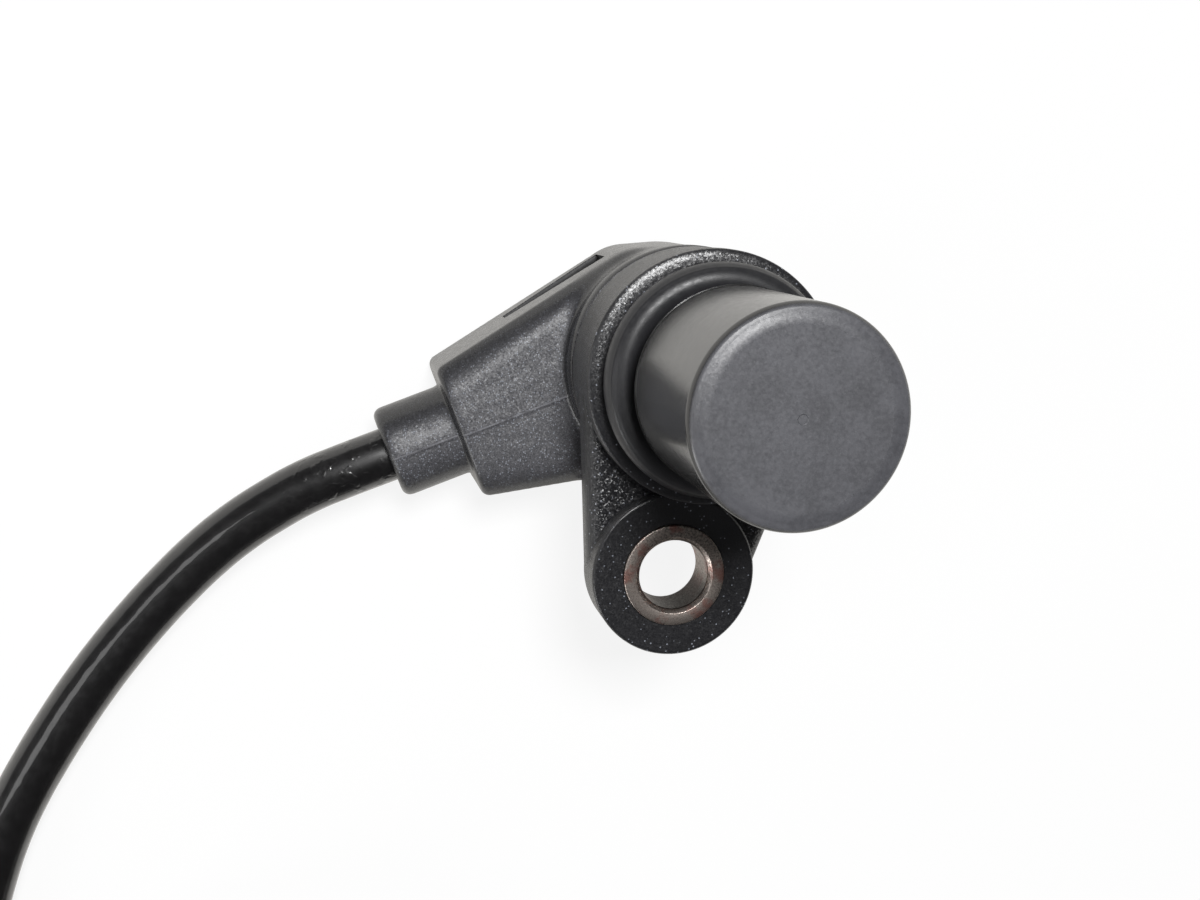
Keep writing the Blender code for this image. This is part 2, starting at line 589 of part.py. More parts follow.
def add_coil_carrier():
    """Bobbin with the winding, the pole pin in its barrel and the magnet behind the pin."""
    foot_top = BOBBIN_BOTTOM + BOBBIN_FOOT
    seat_low, seat_high = WINDING_BOTTOM - SEAT, WINDING_TOP + SEAT
    pin_bore, magnet_bore = POLE_RADIUS + SEAT, MAGNET_RADIUS + SEAT
    bobbin = [(magnet_bore, BOBBIN_BOTTOM), (BOBBIN_FOOT_RADIUS, BOBBIN_BOTTOM)]
    bobbin += [(BOBBIN_FOOT_RADIUS, foot_top), (BOBBIN_RADIUS, foot_top)]
    bobbin += [(BOBBIN_RADIUS, seat_low), (BOBBIN_BARREL, seat_low)]
    bobbin += [(BOBBIN_BARREL, seat_high), (BOBBIN_RADIUS, seat_high), (BOBBIN_RADIUS, BOBBIN_TOP)]
    bobbin += [(pin_bore, BOBBIN_TOP), (pin_bore, MAGNET_TOP + SEAT), (magnet_bore, MAGNET_TOP + SEAT)]
    carrier = lathe("coil_bobbin", bobbin, ROUND_MEDIUM, bobbin_plastic)
    for side in (-1, 1):
        middle = side * TERMINAL_SPACING / 2
        wide = TERMINAL_WIDTH / 2 + SEAT
        thick = TERMINAL_THICKNESS / 2 + SEAT
        slot = box(
            f"terminal_slot_{'left' if side < 0 else 'right'}",
            (TERMINAL_OFFSET - thick, middle - wide, BOBBIN_BOTTOM - PAST),
            (TERMINAL_OFFSET + thick, middle + wide, foot_top + PAST),
            matrix=neck_matrix,
        )
        combine(carrier, slot, "DIFFERENCE")

    inside = BOBBIN_BARREL + SEAT
    winding = [(inside, WINDING_BOTTOM), (WINDING_RADIUS, WINDING_BOTTOM)]
    winding += [(WINDING_RADIUS, WINDING_TOP), (inside, WINDING_TOP)]
    lathe("coil_winding", winding, ROUND_MEDIUM, copper_wire)
    low, high = MAGNET_TOP + SEAT, BOBBIN_TOP
    pin = [(0.0, low), (POLE_RADIUS, low), (POLE_RADIUS, high), (0.0, high)]
    lathe("pole_pin", pin, ROUND_SMALL, soft_iron)
    low, high = MAGNET_TOP - MAGNET_LENGTH, MAGNET_TOP
    magnet = [(0.0, low), (MAGNET_RADIUS, low), (MAGNET_RADIUS, high), (0.0, high)]
    lathe("magnet", magnet, ROUND_SMALL, magnet_alloy)


def add_terminals():
    """Two strips from the carrier's foot, bent over to the crimps that hold the cable's cores."""
    foot = TERMINAL_OFFSET + TERMINAL_REACH
    crimp_start = foot - CRIMP_GRIP
    for side, label, insulation in ((-1, "left", core_brown), (1, "right", core_white)):
        middle = side * TERMINAL_SPACING / 2
        half, thick = TERMINAL_WIDTH / 2, TERMINAL_THICKNESS / 2
        top = BOBBIN_BOTTOM + BOBBIN_FOOT - SEAT
        strip = [
            (TERMINAL_OFFSET - thick, top), (TERMINAL_OFFSET - thick, COLLAR_HEIGHT - thick),
            (foot, COLLAR_HEIGHT - thick), (foot, COLLAR_HEIGHT + thick),
            (TERMINAL_OFFSET + thick, COLLAR_HEIGHT + thick), (TERMINAL_OFFSET + thick, top),
        ]
        rings = [[(x, middle + y, z) for x, z in strip] for y in (-half, half)]
        loft(f"terminal_{label}", rings, tinned_brass, neck_matrix)

        outside = CRIMP_BORE + CRIMP_WALL
        barrel = [(CRIMP_BORE, 0.0), (outside, 0.0), (outside, CRIMP_LENGTH), (CRIMP_BORE, CRIMP_LENGTH)]
        crimp_place = lying_along(neck_along, along_neck(crimp_start, middle, COLLAR_HEIGHT))
        lathe(f"crimp_{label}", barrel, ROUND_SMALL, tinned_brass, crimp_place)

        wire_end = crimp_start + CRIMP_LENGTH - CRIMP_GRIP
        core = NECK_SHIFT + side * CORE_SPACING / 2
        start, span = CABLE_START - SEAT, CABLE_START - SEAT - wire_end
        chosen = [(start, core), (start - 0.15 * span, core)]
        chosen += [(wire_end + 0.25 * span, middle), (wire_end, middle)]
        route = smooth_route([along_neck(u, v, COLLAR_HEIGHT) for u, v in chosen], 2 * CORE_RADIUS)
        tube(f"core_wire_{label}", route, CORE_RADIUS, insulation, 2)


# Chosen points of the free lead, from the collar's end to the coil, in millimetres.
LEAD_POINTS_MM = [
    (-30.4, -16.6, 5.8), (-34.0, -18.9, 5.3), (-37.3, -21.6, 4.7), (-40.3, -24.5, 4.1), (-43.1, -27.8, 3.5),
    (-45.7, -31.4, 3.1), (-48.1, -35.1, 2.85), (-50.4, -39.0, 2.8), (-52.5, -43.0, 2.8), (-54.4, -47.1, 2.8),
    (-56.1, -51.2, 2.8), (-57.6, -55.3, 2.8), (-58.8, -59.6, 2.8), (-59.6, -64.0, 2.8), (-60.1, -68.5, 2.85),
    (-60.3, -73.0, 3.1), (-60.3, -77.5, 3.4), (-60.3, -81.4, 3.7),
]
# Chosen points of the lead from the coil to the plug.
TAIL_POINTS_MM = [
    (-9.2, -130.6, 8.3), (-4.5, -130.6, 7.9), (0.5, -130.6, 7.4), (5.5, -130.6, 7.15), (10.7, -130.6, 7.05),
]


def coil_floor(along):
    """Height of the coil's underside, so far from its middle towards the tie."""
    return COIL_LOW + COIL_RISE * (along + COIL_OUTER) / (2 * COIL_OUTER)


def coil_height(angle):
    """Height of the coil's turns: one layer, and two where the last stretch lies on top."""
    turned = abs((angle - STACK_MIDDLE + math.pi) % math.tau - math.pi)
    share = min(max((STACK_HALF_ANGLE - turned) / STACK_EASE, 0.0), 1.0)
    return COIL_LAYER * (1 + share)


def add_coil():
    """One turned ring of the coil's outer shape, leaning on the tie that passes under it."""
    section = arc((COIL_OUTER - COIL_EDGE, COIL_EDGE), COIL_EDGE, -90, 0, 3)
    section += arc((COIL_OUTER - COIL_EDGE, COIL_LAYER - COIL_EDGE), COIL_EDGE, 0, 90, 3)
    section += arc((COIL_INNER + COIL_EDGE, COIL_LAYER - COIL_EDGE), COIL_EDGE, 90, 180, 3)
    section += arc((COIL_INNER + COIL_EDGE, COIL_EDGE), COIL_EDGE, 180, 270, 3)
    coil = lathe("cable_coil", section, ROUND_MEDIUM, cable_jacket, Matrix.Translation((COIL_X, COIL_Y, 0.0)))
    for corner in coil.data.vertices:
        x, y, z = corner.co
        angle = math.atan2(y, x)
        towards_tie = x * math.cos(TIE_ANGLE) + y * math.sin(TIE_ANGLE)
        corner.co.z = coil_floor(towards_tie) + z / COIL_LAYER * coil_height(angle)


def add_lead():
    """The cable's two free stretches, to the coil and from the coil to the plug."""
    stops = [CABLE_START, 0.5 * (CABLE_START + COLLAR_END)]
    stops += [COLLAR_END - 2 * COLLAR_EDGE, COLLAR_END + COLLAR_EDGE]
    lead = [along_neck(along, NECK_SHIFT, COLLAR_HEIGHT) for along in stops]
    lead += [Vector(point) * MM for point in LEAD_POINTS_MM]
    tube("signal_cable", smooth_route(lead, POINT_SPACING), CABLE_RADIUS, cable_jacket)

    tail = [Vector(point) * MM for point in TAIL_POINTS_MM]
    tube("cable_tail", smooth_route(tail, POINT_SPACING), CABLE_RADIUS, cable_jacket)


def add_coil_tie():
    """Strap round the coil's section, with its ratchet head outside and a cut tail."""
    gap_low, gap_high = -COIL_HALF_WIDTH - SEAT, COIL_HALF_WIDTH + SEAT
    low = coil_floor(COIL_INNER + COIL_EDGE) - SEAT
    high = coil_floor(COIL_OUTER) + coil_height(TIE_ANGLE) + SEAT
    rim = TIE_THICKNESS
    inner = [(gap_low, low), (gap_high, low), (gap_high, high), (gap_low, high)]
    outer = [(gap_low - rim, low - rim), (gap_high + rim, low - rim)]
    outer += [(gap_high + rim, high + rim), (gap_low - rim, high + rim)]
    matrix = Matrix.Translation((COIL_X, COIL_Y, 0.0)) @ Matrix.Rotation(TIE_ANGLE, 4, "Z")
    matrix = matrix @ Matrix.Translation((COIL_MID_RADIUS, 0.0, 0.0))
    wide = TIE_WIDTH / 2
    strap = loft("coil_tie", [[(x, y, z) for x, z in outer] for y in (-wide, wide)], tie_nylon, matrix)
    window = loft("tie_window", [[(x, 2 * y, z) for x, z in inner] for y in (-wide, wide)], matrix=matrix)
    combine(strap, window, "DIFFERENCE")
    head_wide = TIE_HEAD / 2
    middle = 0.5 * (low + high)
    head_start = gap_high + 0.5 * rim
    head_low = (head_start, -head_wide, middle - head_wide)
    head_high = (head_start + TIE_HEAD_REACH, head_wide, middle + head_wide)
    combine(strap, box("tie_head", head_low, head_high, matrix=matrix), "UNION")
    tail_low = (head_start + rim, -wide + SUNK, middle)
    tail_high = (head_start + 2 * rim, wide - SUNK, middle + TIE_TAIL)
    combine(strap, box("tie_tail", tail_low, tail_high, matrix=matrix), "UNION")


def plug_block(name, length_from, length_to, inset, material=None, edge=0.0):
    """Block of the plug's rounded section, shrunk by inset, along the plug's X axis."""
    half_width, half_height = PLUG_WIDTH / 2 - inset, PLUG_HEIGHT / 2 - inset
    corner = max(PLUG_CORNER - inset, 0.4 * MM)
    ring = []
    for x, y, start in ((1, 1, 0), (-1, 1, 90), (-1, -1, 180), (1, -1, 270)):
        centre = (x * (half_width - corner), y * (half_height - corner))
        ring += arc(centre, corner, start, start + 90, 4)
    rings = []
    stations = [(length_from, edge), (length_from + edge, 0.0), (length_to - edge, 0.0), (length_to, edge)]
    for along, shrink in stations:
        scale_y, scale_z = 1 - shrink / half_width, 1 - shrink / half_height
        rings.append([(along, y * scale_y, z * scale_z) for y, z in ring])
    if not edge:
        rings = [rings[0], rings[-1]]
    return loft(name, rings, material, plug_matrix)


plug_matrix = Matrix.Translation((PLUG_X, PLUG_Y, PLUG_HEIGHT / 2 + SUNK))
along_plug = plug_matrix @ Matrix.Rotation(math.pi / 2, 4, "Y")
plug_start = BOOT_LENGTH + SEAT
plug_end = plug_start + PLUG_LENGTH
socket_floor = plug_end - PLUG_SOCKET
chamber_end = socket_floor - PLUG_PARTITION


def add_plug_boot():
    """Ribbed rubber boot on the cable, held in the plug's rear cap."""
    bore = CABLE_RADIUS + SEAT
    cap_start = BOOT_LENGTH - CAP_LENGTH
    boot = [(bore, 0.0), (BOOT_REAR_RADIUS, 0.0)]
    for rib in range(BOOT_RIBS):
        share = (rib + 1) / (BOOT_RIBS + 1)
        radius = BOOT_REAR_RADIUS + (BOOT_FRONT_RADIUS - BOOT_REAR_RADIUS) * share
        along = cap_start * share
        boot += [(radius, along - BOOT_RIB_WIDTH)]
        boot += [(radius - BOOT_RIB_HEIGHT, along - 0.8 * BOOT_RIB_WIDTH)]
        boot += [(radius - BOOT_RIB_HEIGHT, along), (radius, along + 0.2 * BOOT_RIB_WIDTH)]
    boot += [(BOOT_FRONT_RADIUS, cap_start), (BOOT_FRONT_RADIUS, BOOT_LENGTH), (bore, BOOT_LENGTH)]
    lathe("plug_boot", boot, ROUND_MEDIUM, seal_rubber, along_plug)

    cap = plug_block("plug_cap", cap_start, BOOT_LENGTH, CAP_SETBACK, plug_plastic, CAP_EDGE)
    radius, length = BOOT_FRONT_RADIUS + SEAT, BOOT_LENGTH + PAST
    hole = [(0.0, 0.0), (radius, 0.0), (radius, length), (0.0, length)]
    combine(cap, lathe("cap_hole", hole, ROUND_MEDIUM, matrix=along_plug), "DIFFERENCE")


def add_plug_housing():
    """Housing with its latch ramp, two guide ribs, the wire chamber and the socket."""
    body = plug_block("plug_housing", plug_start, plug_end, 0.0, plug_plastic, PLUG_EDGE)
    ramp_end = plug_end - RAMP_SETBACK
    ramp_start = ramp_end - RAMP_LENGTH
    base, top, half = PLUG_HEIGHT / 2 - PLUG_EDGE, PLUG_HEIGHT / 2 + RAMP_HEIGHT, RAMP_WIDTH / 2
    flat_end = ramp_start + 0.2 * RAMP_LENGTH
    wedge = [(ramp_start, base), (ramp_end, base), (ramp_end, base + PLUG_EDGE + SUNK)]
    wedge += [(flat_end, top), (ramp_start, top)]
    rings = [[(x, y, z) for x, z in wedge] for y in (-half, half)]
    combine(body, loft("plug_ramp", rings, matrix=plug_matrix), "UNION")
    for side, label in ((-1, "left"), (1, "right")):
        inner_face = side * (PLUG_WIDTH / 2 - PLUG_EDGE)
        outer_face = side * (PLUG_WIDTH / 2 + RIB_HEIGHT)
        start, low = plug_start + RIB_START, min(inner_face, outer_face)
        end, high = start + RIB_LENGTH, max(inner_face, outer_face)
        half = RIB_WIDTH / 2
        rib = box(f"plug_rib_{label}", (start, low, -half), (end, high, half), matrix=plug_matrix)
        combine(body, rib, "UNION")
    combine(body, plug_block("plug_socket", socket_floor, plug_end + PAST, PLUG_WALL), "DIFFERENCE")
    chamber = plug_block("plug_chamber", plug_start - PAST, chamber_end, PLUG_REAR_WALL)
    combine(body, chamber, "DIFFERENCE")
    return body


def add_contacts(body):
    """Contact carrier in the socket's floor, with a blade and a core wire for each way."""
    carrier_start = socket_floor + SEAT
    carrier_end = carrier_start + CARRIER_THICKNESS
    carrier = plug_block("contact_carrier", carrier_start, carrier_end, PLUG_WALL + SEAT, carrier_plastic)
    barrel_end = chamber_end - SEAT
    barrel_start = barrel_end - CONTACT_BARREL_LENGTH
    tip = carrier_end + CONTACT_REACH
    wide, thick, barrel = CONTACT_WIDTH / 2, CONTACT_THICKNESS / 2, CONTACT_BARREL / 2
    sections = [(barrel_start, barrel, barrel), (barrel_end - CONTACT_POINT, barrel, barrel)]
    sections += [(barrel_end, wide, thick), (tip - CONTACT_POINT, wide, thick)]
    sections += [(tip, 0.4 * wide, 0.3 * thick)]
    wire_start = BOOT_LENGTH - PAST
    wire_end = barrel_start - SEAT
    reach = wire_end - wire_start
    for i in range(CONTACT_COUNT):
        place = i - (CONTACT_COUNT - 1) / 2
        middle, core = place * CONTACT_PITCH, place * PLUG_CORE_SPACING
        window = box(
            f"contact_window_{i + 1}", (chamber_end - PAST, middle - wide - SEAT, -thick - SEAT),
            (carrier_end + PAST, middle + wide + SEAT, thick + SEAT), matrix=plug_matrix,
        )
        combine(body, window, "DIFFERENCE")
        combine(carrier, window, "DIFFERENCE")
        rings = [[(x, middle - w, -t), (x, middle + w, -t), (x, middle + w, t), (x, middle - w, t)]
                 for x, w, t in sections]
        loft(f"contact_{i + 1}", rings, tinned_brass, plug_matrix)
        chosen = [(wire_start, core, 0.0), (wire_start + 0.2 * reach, core, 0.0)]
        chosen += [(wire_end - 0.25 * reach, middle, 0.0), (wire_end, middle, 0.0)]
        route = smooth_route([plug_matrix @ Vector(point) for point in chosen], 2 * CORE_RADIUS)
        tube(f"plug_wire_{i + 1}", route, CORE_RADIUS, core_white if i else core_brown, 2)


add_front_housing()
add_seal_and_bush()
add_rear_overmould()
add_coil_carrier()
add_terminals()
add_lead()
add_coil()
add_coil_tie()
add_plug_boot()
add_contacts(add_plug_housing())
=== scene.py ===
import math

import bmesh
import bpy
from mathutils import Matrix, Vector


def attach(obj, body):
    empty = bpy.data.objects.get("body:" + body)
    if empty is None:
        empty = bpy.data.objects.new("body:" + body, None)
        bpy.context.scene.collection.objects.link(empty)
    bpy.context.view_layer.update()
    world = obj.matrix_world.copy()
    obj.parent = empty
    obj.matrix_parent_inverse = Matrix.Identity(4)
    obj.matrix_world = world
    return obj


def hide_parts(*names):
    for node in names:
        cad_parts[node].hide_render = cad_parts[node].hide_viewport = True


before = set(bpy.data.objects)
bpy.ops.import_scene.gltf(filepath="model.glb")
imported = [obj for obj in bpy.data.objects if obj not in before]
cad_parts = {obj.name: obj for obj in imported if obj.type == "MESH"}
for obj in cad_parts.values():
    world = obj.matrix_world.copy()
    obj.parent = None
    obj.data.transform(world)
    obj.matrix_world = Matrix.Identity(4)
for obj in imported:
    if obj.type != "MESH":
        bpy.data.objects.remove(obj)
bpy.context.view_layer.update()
mm = 0.001


# helpers for modelling
def deselectAll():
    if bpy.context.object and bpy.context.object.mode != "OBJECT":
        bpy.ops.object.mode_set(mode="OBJECT")
    bpy.ops.object.select_all(action="DESELECT")


def pickOnly(piece):
    deselectAll()
    piece.select_set(True)
    bpy.context.view_layer.objects.active = piece


def nameIt(name):
    piece = bpy.context.object
    piece.name = name
    piece.data.name = name
    return piece


# selects the faces, edges or vertices whose middle passes the test, in edit mode
def choose(piece, test, kind="FACE"):
    bpy.ops.mesh.select_mode(type=kind)
    bpy.ops.mesh.select_all(action="DESELECT")
    grid = bmesh.from_edit_mesh(piece.data)
    if kind == "VERT":
        for corner in grid.verts:
            corner.select_set(test(corner.co, corner))
    elif kind == "EDGE":
        for line in grid.edges:
            line.select_set(test((line.verts[0].co + line.verts[1].co) / 2, line))
    else:
        for side in grid.faces:
            side.select_set(test(side.calc_center_median(), side))
    grid.select_flush_mode()
    bmesh.update_edit_mesh(piece.data)


def applyModifier(piece, kind, **settings):
    pickOnly(piece)
    bpy.ops.object.modifier_add(type=kind)
    modifier = piece.modifiers[-1]
    for key, value in settings.items():
        setattr(modifier, key, value)
    bpy.ops.object.modifier_apply(modifier=modifier.name)


def combine(piece, tool, operation):
    applyModifier(piece, "BOOLEAN", operation=operation, object=tool, solver="EXACT")
    bpy.data.objects.remove(tool)
    return piece


def settleNormals(piece):
    pickOnly(piece)
    bpy.ops.object.mode_set(mode="EDIT")
    bpy.ops.mesh.select_all(action="SELECT")
    bpy.ops.mesh.remove_doubles(threshold=0.002 * mm)
    bpy.ops.mesh.normals_make_consistent(inside=False)
    bpy.ops.object.mode_set(mode="OBJECT")


def shadePiece(piece, angle=30.0):
    pickOnly(piece)
    bpy.ops.object.shade_smooth_by_angle(angle=math.radians(angle))
    applyModifier(piece, "WEIGHTED_NORMAL", keep_sharp=True, weight=80)


# turns and shifts the mesh, and leaves the object at the origin
def placePiece(piece, turn=(0.0, 0.0, 0.0), shift=(0.0, 0.0, 0.0)):
    pickOnly(piece)
    piece.rotation_euler = turn
    piece.location = shift
    bpy.ops.object.transform_apply(location=True, rotation=True, scale=True)


def finishPiece(piece, material, slot, *nodes):
    piece.data.materials.clear()
    piece.data.materials.append(material)
    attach(piece, "root")
    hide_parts(*nodes)


# points of an arc, from the start angle to the end angle in degrees
def arcOf(centre, radius, start, end, count):
    angles = [math.radians(start + (end - start) * i / count) for i in range(count + 1)]
    return [(centre[0] + radius * math.cos(a), centre[1] + radius * math.sin(a)) for a in angles]


# draws the outline's (radius, height) points one by one and spins them round the Z axis
def turnPiece(name, outline, steps=160, closed=False):
    deselectAll()
    bpy.ops.mesh.primitive_plane_add(size=mm, location=(0, 0, 0))
    piece = nameIt(name)
    bpy.ops.object.mode_set(mode="EDIT")
    bpy.ops.mesh.select_mode(type="VERT")
    bpy.ops.mesh.select_all(action="SELECT")
    bpy.ops.mesh.merge(type="CENTER")
    points = list(outline) + ([outline[0]] if closed else [])
    bpy.ops.transform.translate(value=(points[0][0], 0, points[0][1]))
    for (r0, z0), (r1, z1) in zip(points, points[1:]):
        bpy.ops.mesh.extrude_region_move(TRANSFORM_OT_translate={"value": (r1 - r0, 0, z1 - z0)})
    bpy.ops.mesh.select_all(action="SELECT")
    bpy.ops.mesh.spin(steps=steps, angle=math.tau, center=(0, 0, 0), axis=(0, 0, 1))
    bpy.ops.object.mode_set(mode="OBJECT")
    settleNormals(piece)
    return piece


# upright cylinder between two heights
def drumPiece(name, radius, low, high, place=(0.0, 0.0), vertices=192):
    deselectAll()
    bpy.ops.mesh.primitive_cylinder_add(
        vertices=vertices, radius=radius, depth=high - low, location=(place[0], place[1], (low + high) / 2))
    piece = nameIt(name)
    placePiece(piece, shift=piece.location.copy())
    return piece


def hullPiece(name, circles, low, high):  # upright body round several circles (x, y, radius)
    drums = [drumPiece(name, r, low, high, (x, y)) for x, y, r in circles]
    pickOnly(drums[0])
    for drum in drums[1:]:
        drum.select_set(True)
    bpy.ops.object.join()
    bpy.ops.object.mode_set(mode="EDIT")
    bpy.ops.mesh.select_all(action="SELECT")
    bpy.ops.mesh.convex_hull()
    bpy.ops.mesh.dissolve_limited(angle_limit=math.radians(0.2))
    bpy.ops.object.mode_set(mode="OBJECT")
    return nameIt(name)


# rounds the edge between the flat face at this height and the side
def roundRim(piece, height, width, segments):
    pickOnly(piece)
    bpy.ops.object.mode_set(mode="EDIT")

    def onRim(middle, line):
        level = all(abs(corner.co.z - height) < 0.01 * mm for corner in line.verts)
        return level and len(line.link_faces) == 2 and line.calc_face_angle(0.0) > 0.5

    choose(piece, onRim, "EDGE")
    bpy.ops.mesh.bevel(offset=width, segments=segments, profile=0.5, affect="EDGES", clamp_overlap=False)
    bpy.ops.object.mode_set(mode="OBJECT")


def blockPiece(name, low, high):  # box between two corners, with its place in its mesh
    deselectAll()
    middle = [(a + b) / 2 for a, b in zip(low, high)]
    size = [b - a for a, b in zip(low, high)]
    bpy.ops.mesh.primitive_cube_add(size=1.0, location=middle, scale=size)
    piece = nameIt(name)
    bpy.ops.object.transform_apply(location=True, rotation=True, scale=True)
    return piece


# plate with this outline in the XY plane, in mm, drawn point by point and raised along Z
def drawPlate(name, outline, low, high):
    deselectAll()
    bpy.ops.mesh.primitive_plane_add(size=mm, location=(0, 0, 0))
    plate = nameIt(name)
    bpy.ops.object.mode_set(mode="EDIT")
    bpy.ops.mesh.select_mode(type="VERT")
    bpy.ops.mesh.select_all(action="SELECT")
    bpy.ops.mesh.merge(type="CENTER")
    points = [Vector((x, y, low)) * mm for x, y in outline]
    bpy.ops.transform.translate(value=points[0])
    for here, there in zip(points, points[1:] + points[:1]):
        bpy.ops.mesh.extrude_region_move(TRANSFORM_OT_translate={"value": there - here})
    bpy.ops.mesh.select_all(action="SELECT")
    bpy.ops.mesh.remove_doubles(threshold=0.002 * mm)
    bpy.ops.mesh.edge_face_add()
    bpy.ops.mesh.extrude_region_move(TRANSFORM_OT_translate={"value": (0, 0, (high - low) * mm)})
    bpy.ops.object.mode_set(mode="OBJECT")
    settleNormals(plate)
    return plate


# helpers for materials
def addNode(tree, kind, links=None, **settings):
    made = tree.nodes.new("ShaderNode" + kind)
    for key, value in settings.items():
        setattr(made, key, value)
    for key, value in (links or {}).items():
        if isinstance(value, bpy.types.NodeSocket):
            tree.links.new(value, made.inputs[key])
        else:
            made.inputs[key].default_value = value
    return made


def newMaterial(name, **fixed):
    material = bpy.data.materials.new(name)
    material.use_nodes = True
    shader = material.node_tree.nodes["Principled BSDF"]
    for key, value in fixed.items():
        shader.inputs[key.replace("_", " ")].default_value = value
    place = addNode(material.node_tree, "TexCoord").outputs["Object"]
    return material, material.node_tree, shader, place


def mixColours(tree, factor, first, second):
    mix = addNode(tree, "Mix", data_type="RGBA")
    for socket, value in ((mix.inputs[0], factor), (mix.inputs[6], first), (mix.inputs[7], second)):
        if isinstance(value, bpy.types.NodeSocket):
            tree.links.new(value, socket)
        elif isinstance(value, float):
            socket.default_value = value
        else:
            socket.default_value = (*value, 1.0)
    return mix.outputs[2]


# eases from the first to the second number as the value goes from low to high
def between(tree, value, low, high, first=0.0, second=1.0):
    ramp = addNode(tree, "MapRange", {
        "Value": value, "From Min": low, "From Max": high, "To Min": first, "To Max": second,
    }, interpolation_type="SMOOTHSTEP")
    return ramp.outputs["Result"]


def reckon(tree, operation, first, second=0.0):
    return addNode(tree, "Math", {0: first, 1: second}, operation=operation).outputs[0]


# noise whose lumps have about this size in metres
def noiseOf(tree, place, size, detail=2.0, roughness=0.55):
    noise = addNode(tree, "TexNoise", {
        "Vector": place, "Scale": 1.0 / size, "Detail": detail, "Roughness": roughness,
    })
    return noise.outputs["Fac"]


def paintedGlintsOf(tree, place, size, share, reach=0.32):  # painted glints: white dots in a share of the cells of this size
    cells = addNode(tree, "TexVoronoi", {"Vector": place, "Scale": 1.0 / size})
    tint = addNode(tree, "SeparateColor", {"Color": cells.outputs["Color"]})
    chosen = reckon(tree, "LESS_THAN", tint.outputs[0], share)
    near = between(tree, cells.outputs["Distance"], reach, 0.4 * reach)
    return reckon(tree, "MULTIPLY", chosen, near)


def bumpOf(tree, height, depth, under=None, strength=1.0):
    links = {"Height": height, "Distance": depth, "Strength": strength}
    if under:
        links["Normal"] = under
    return addNode(tree, "Bump", links).outputs["Normal"]


# camera
cameraSet = {
    "place": (-0.03985, 0.01066, 0.15840),
    "right": (0.96460023, 0.17743363, 0.19509923),
    "up": (-0.14486865, 0.97470348, -0.17019462),
    "lens": 45.506,
    "sensor": 36.0,
}


def addCamera(values):
    deselectAll()
    bpy.ops.object.camera_add()
    camera = bpy.context.object
    camera.name = "viewCamera"
    right, up = Vector(values["right"]), Vector(values["up"])
    axes = Matrix((right, up, right.cross(up))).transposed()
    camera.matrix_world = Matrix.Translation(values["place"]) @ axes.to_4x4()
    camera.data.lens = values["lens"]
    camera.data.sensor_width = values["sensor"]
    camera.data.sensor_fit = "HORIZONTAL"
    camera.data.clip_start = 0.01
    bpy.context.scene.camera = camera


addCamera(cameraSet)
print("camera set")


# the lead
neckTurn = math.radians(210.0)  # the neck's direction, seen from above
neckShift = -0.85  # its middle line passes this far beside the axis, in mm
leadSet = {
    "radius": 2.75,
    "axisHeight": 6.0,  # inside the collar
    "inside": (7.9, 19.1, 28.5, 31.2),  # along the neck
    "free": [
        (-30.4, -16.6, 5.8), (-34.0, -18.9, 5.3), (-37.3, -21.6, 4.7), (-40.3, -24.5, 4.1), (-43.1, -27.8, 3.5),
        (-45.7, -31.4, 3.1), (-48.1, -35.1, 2.85), (-50.4, -39.0, 2.8), (-52.5, -43.0, 2.8), (-54.4, -47.1, 2.8),
        (-56.1, -51.2, 2.8), (-57.6, -55.3, 2.8), (-58.8, -59.6, 2.8), (-59.6, -64.0, 2.8), (-60.1, -68.5, 2.85),
        (-60.3, -73.0, 3.1), (-60.3, -77.5, 3.4), (-60.3, -81.4, 3.7), (-60.3, -88.0, 3.75), (-60.3, -94.5, 3.65),
    ],
    "coilMiddle": (-29.5, -100.6),
    "outerRadius": 30.8,
    "innerRadius": 25.2,
    "stacked": 5.65,  # distance between turns that touch
    "coilStep": 7.5,  # degrees between points
    "coilEnd": 810.0,
    "low": 2.8,
    "tilt": 1.3,  # the coil rises this much over the tie
    "tieAngle": 225.0,
    "after": [(-22.0, -130.6, 9.2), (-15.0, -130.6, 8.8)],
    "tail": [
        (-9.2, -130.6, 8.3), (-4.5, -130.6, 7.9), (0.5, -130.6, 7.4), (5.5, -130.6, 7.15), (10.7, -130.6, 7.05),
        (16.0, -130.6, 7.05), (22.0, -130.6, 7.05),
    ],
    "exit": (-0.02667, -0.01441, 0.0060),
}


def neckPoint(along, across, height):  # place given in the neck's frame, in mm
    return Matrix.Rotation(neckTurn, 3, "Z") @ Vector((along, across, height))


def coilPoint(values, turned):  # place on the coil's middle line after so many degrees
    outer, inner, stacked = values["outerRadius"], values["innerRadius"], values["stacked"]

    def eased(start, end):
        share = min(max((turned - start) / (end - start), 0.0), 1.0)
        return share * share * (3 - 2 * share)

    if turned < 590:  # first turn outside, second inside
        radius, lift = outer + (inner - outer) * eased(290, 355), 0.0
    elif turned < 645:  # climbs over the outer turn
        roll = math.radians(180 - 60 * eased(590, 645))
        radius, lift = outer + stacked * math.cos(roll), stacked * math.sin(roll)
    else:  # third turn, on the other two
        radius = outer + stacked * math.cos(math.radians(120)) + 2 * eased(645, 810)
        lift = stacked * (math.sin(math.radians(120)) + (1 - math.sin(math.radians(120))) * eased(645, 665))
    angle = math.radians(180 + turned)
    over = math.cos(angle - math.radians(values["tieAngle"]))
    height = values["low"] + values["tilt"] * (radius * over + 33.6) / 67.2 + lift
    x, y = values["coilMiddle"]
    return Vector((x + radius * math.cos(angle), y + radius * math.sin(angle), height))


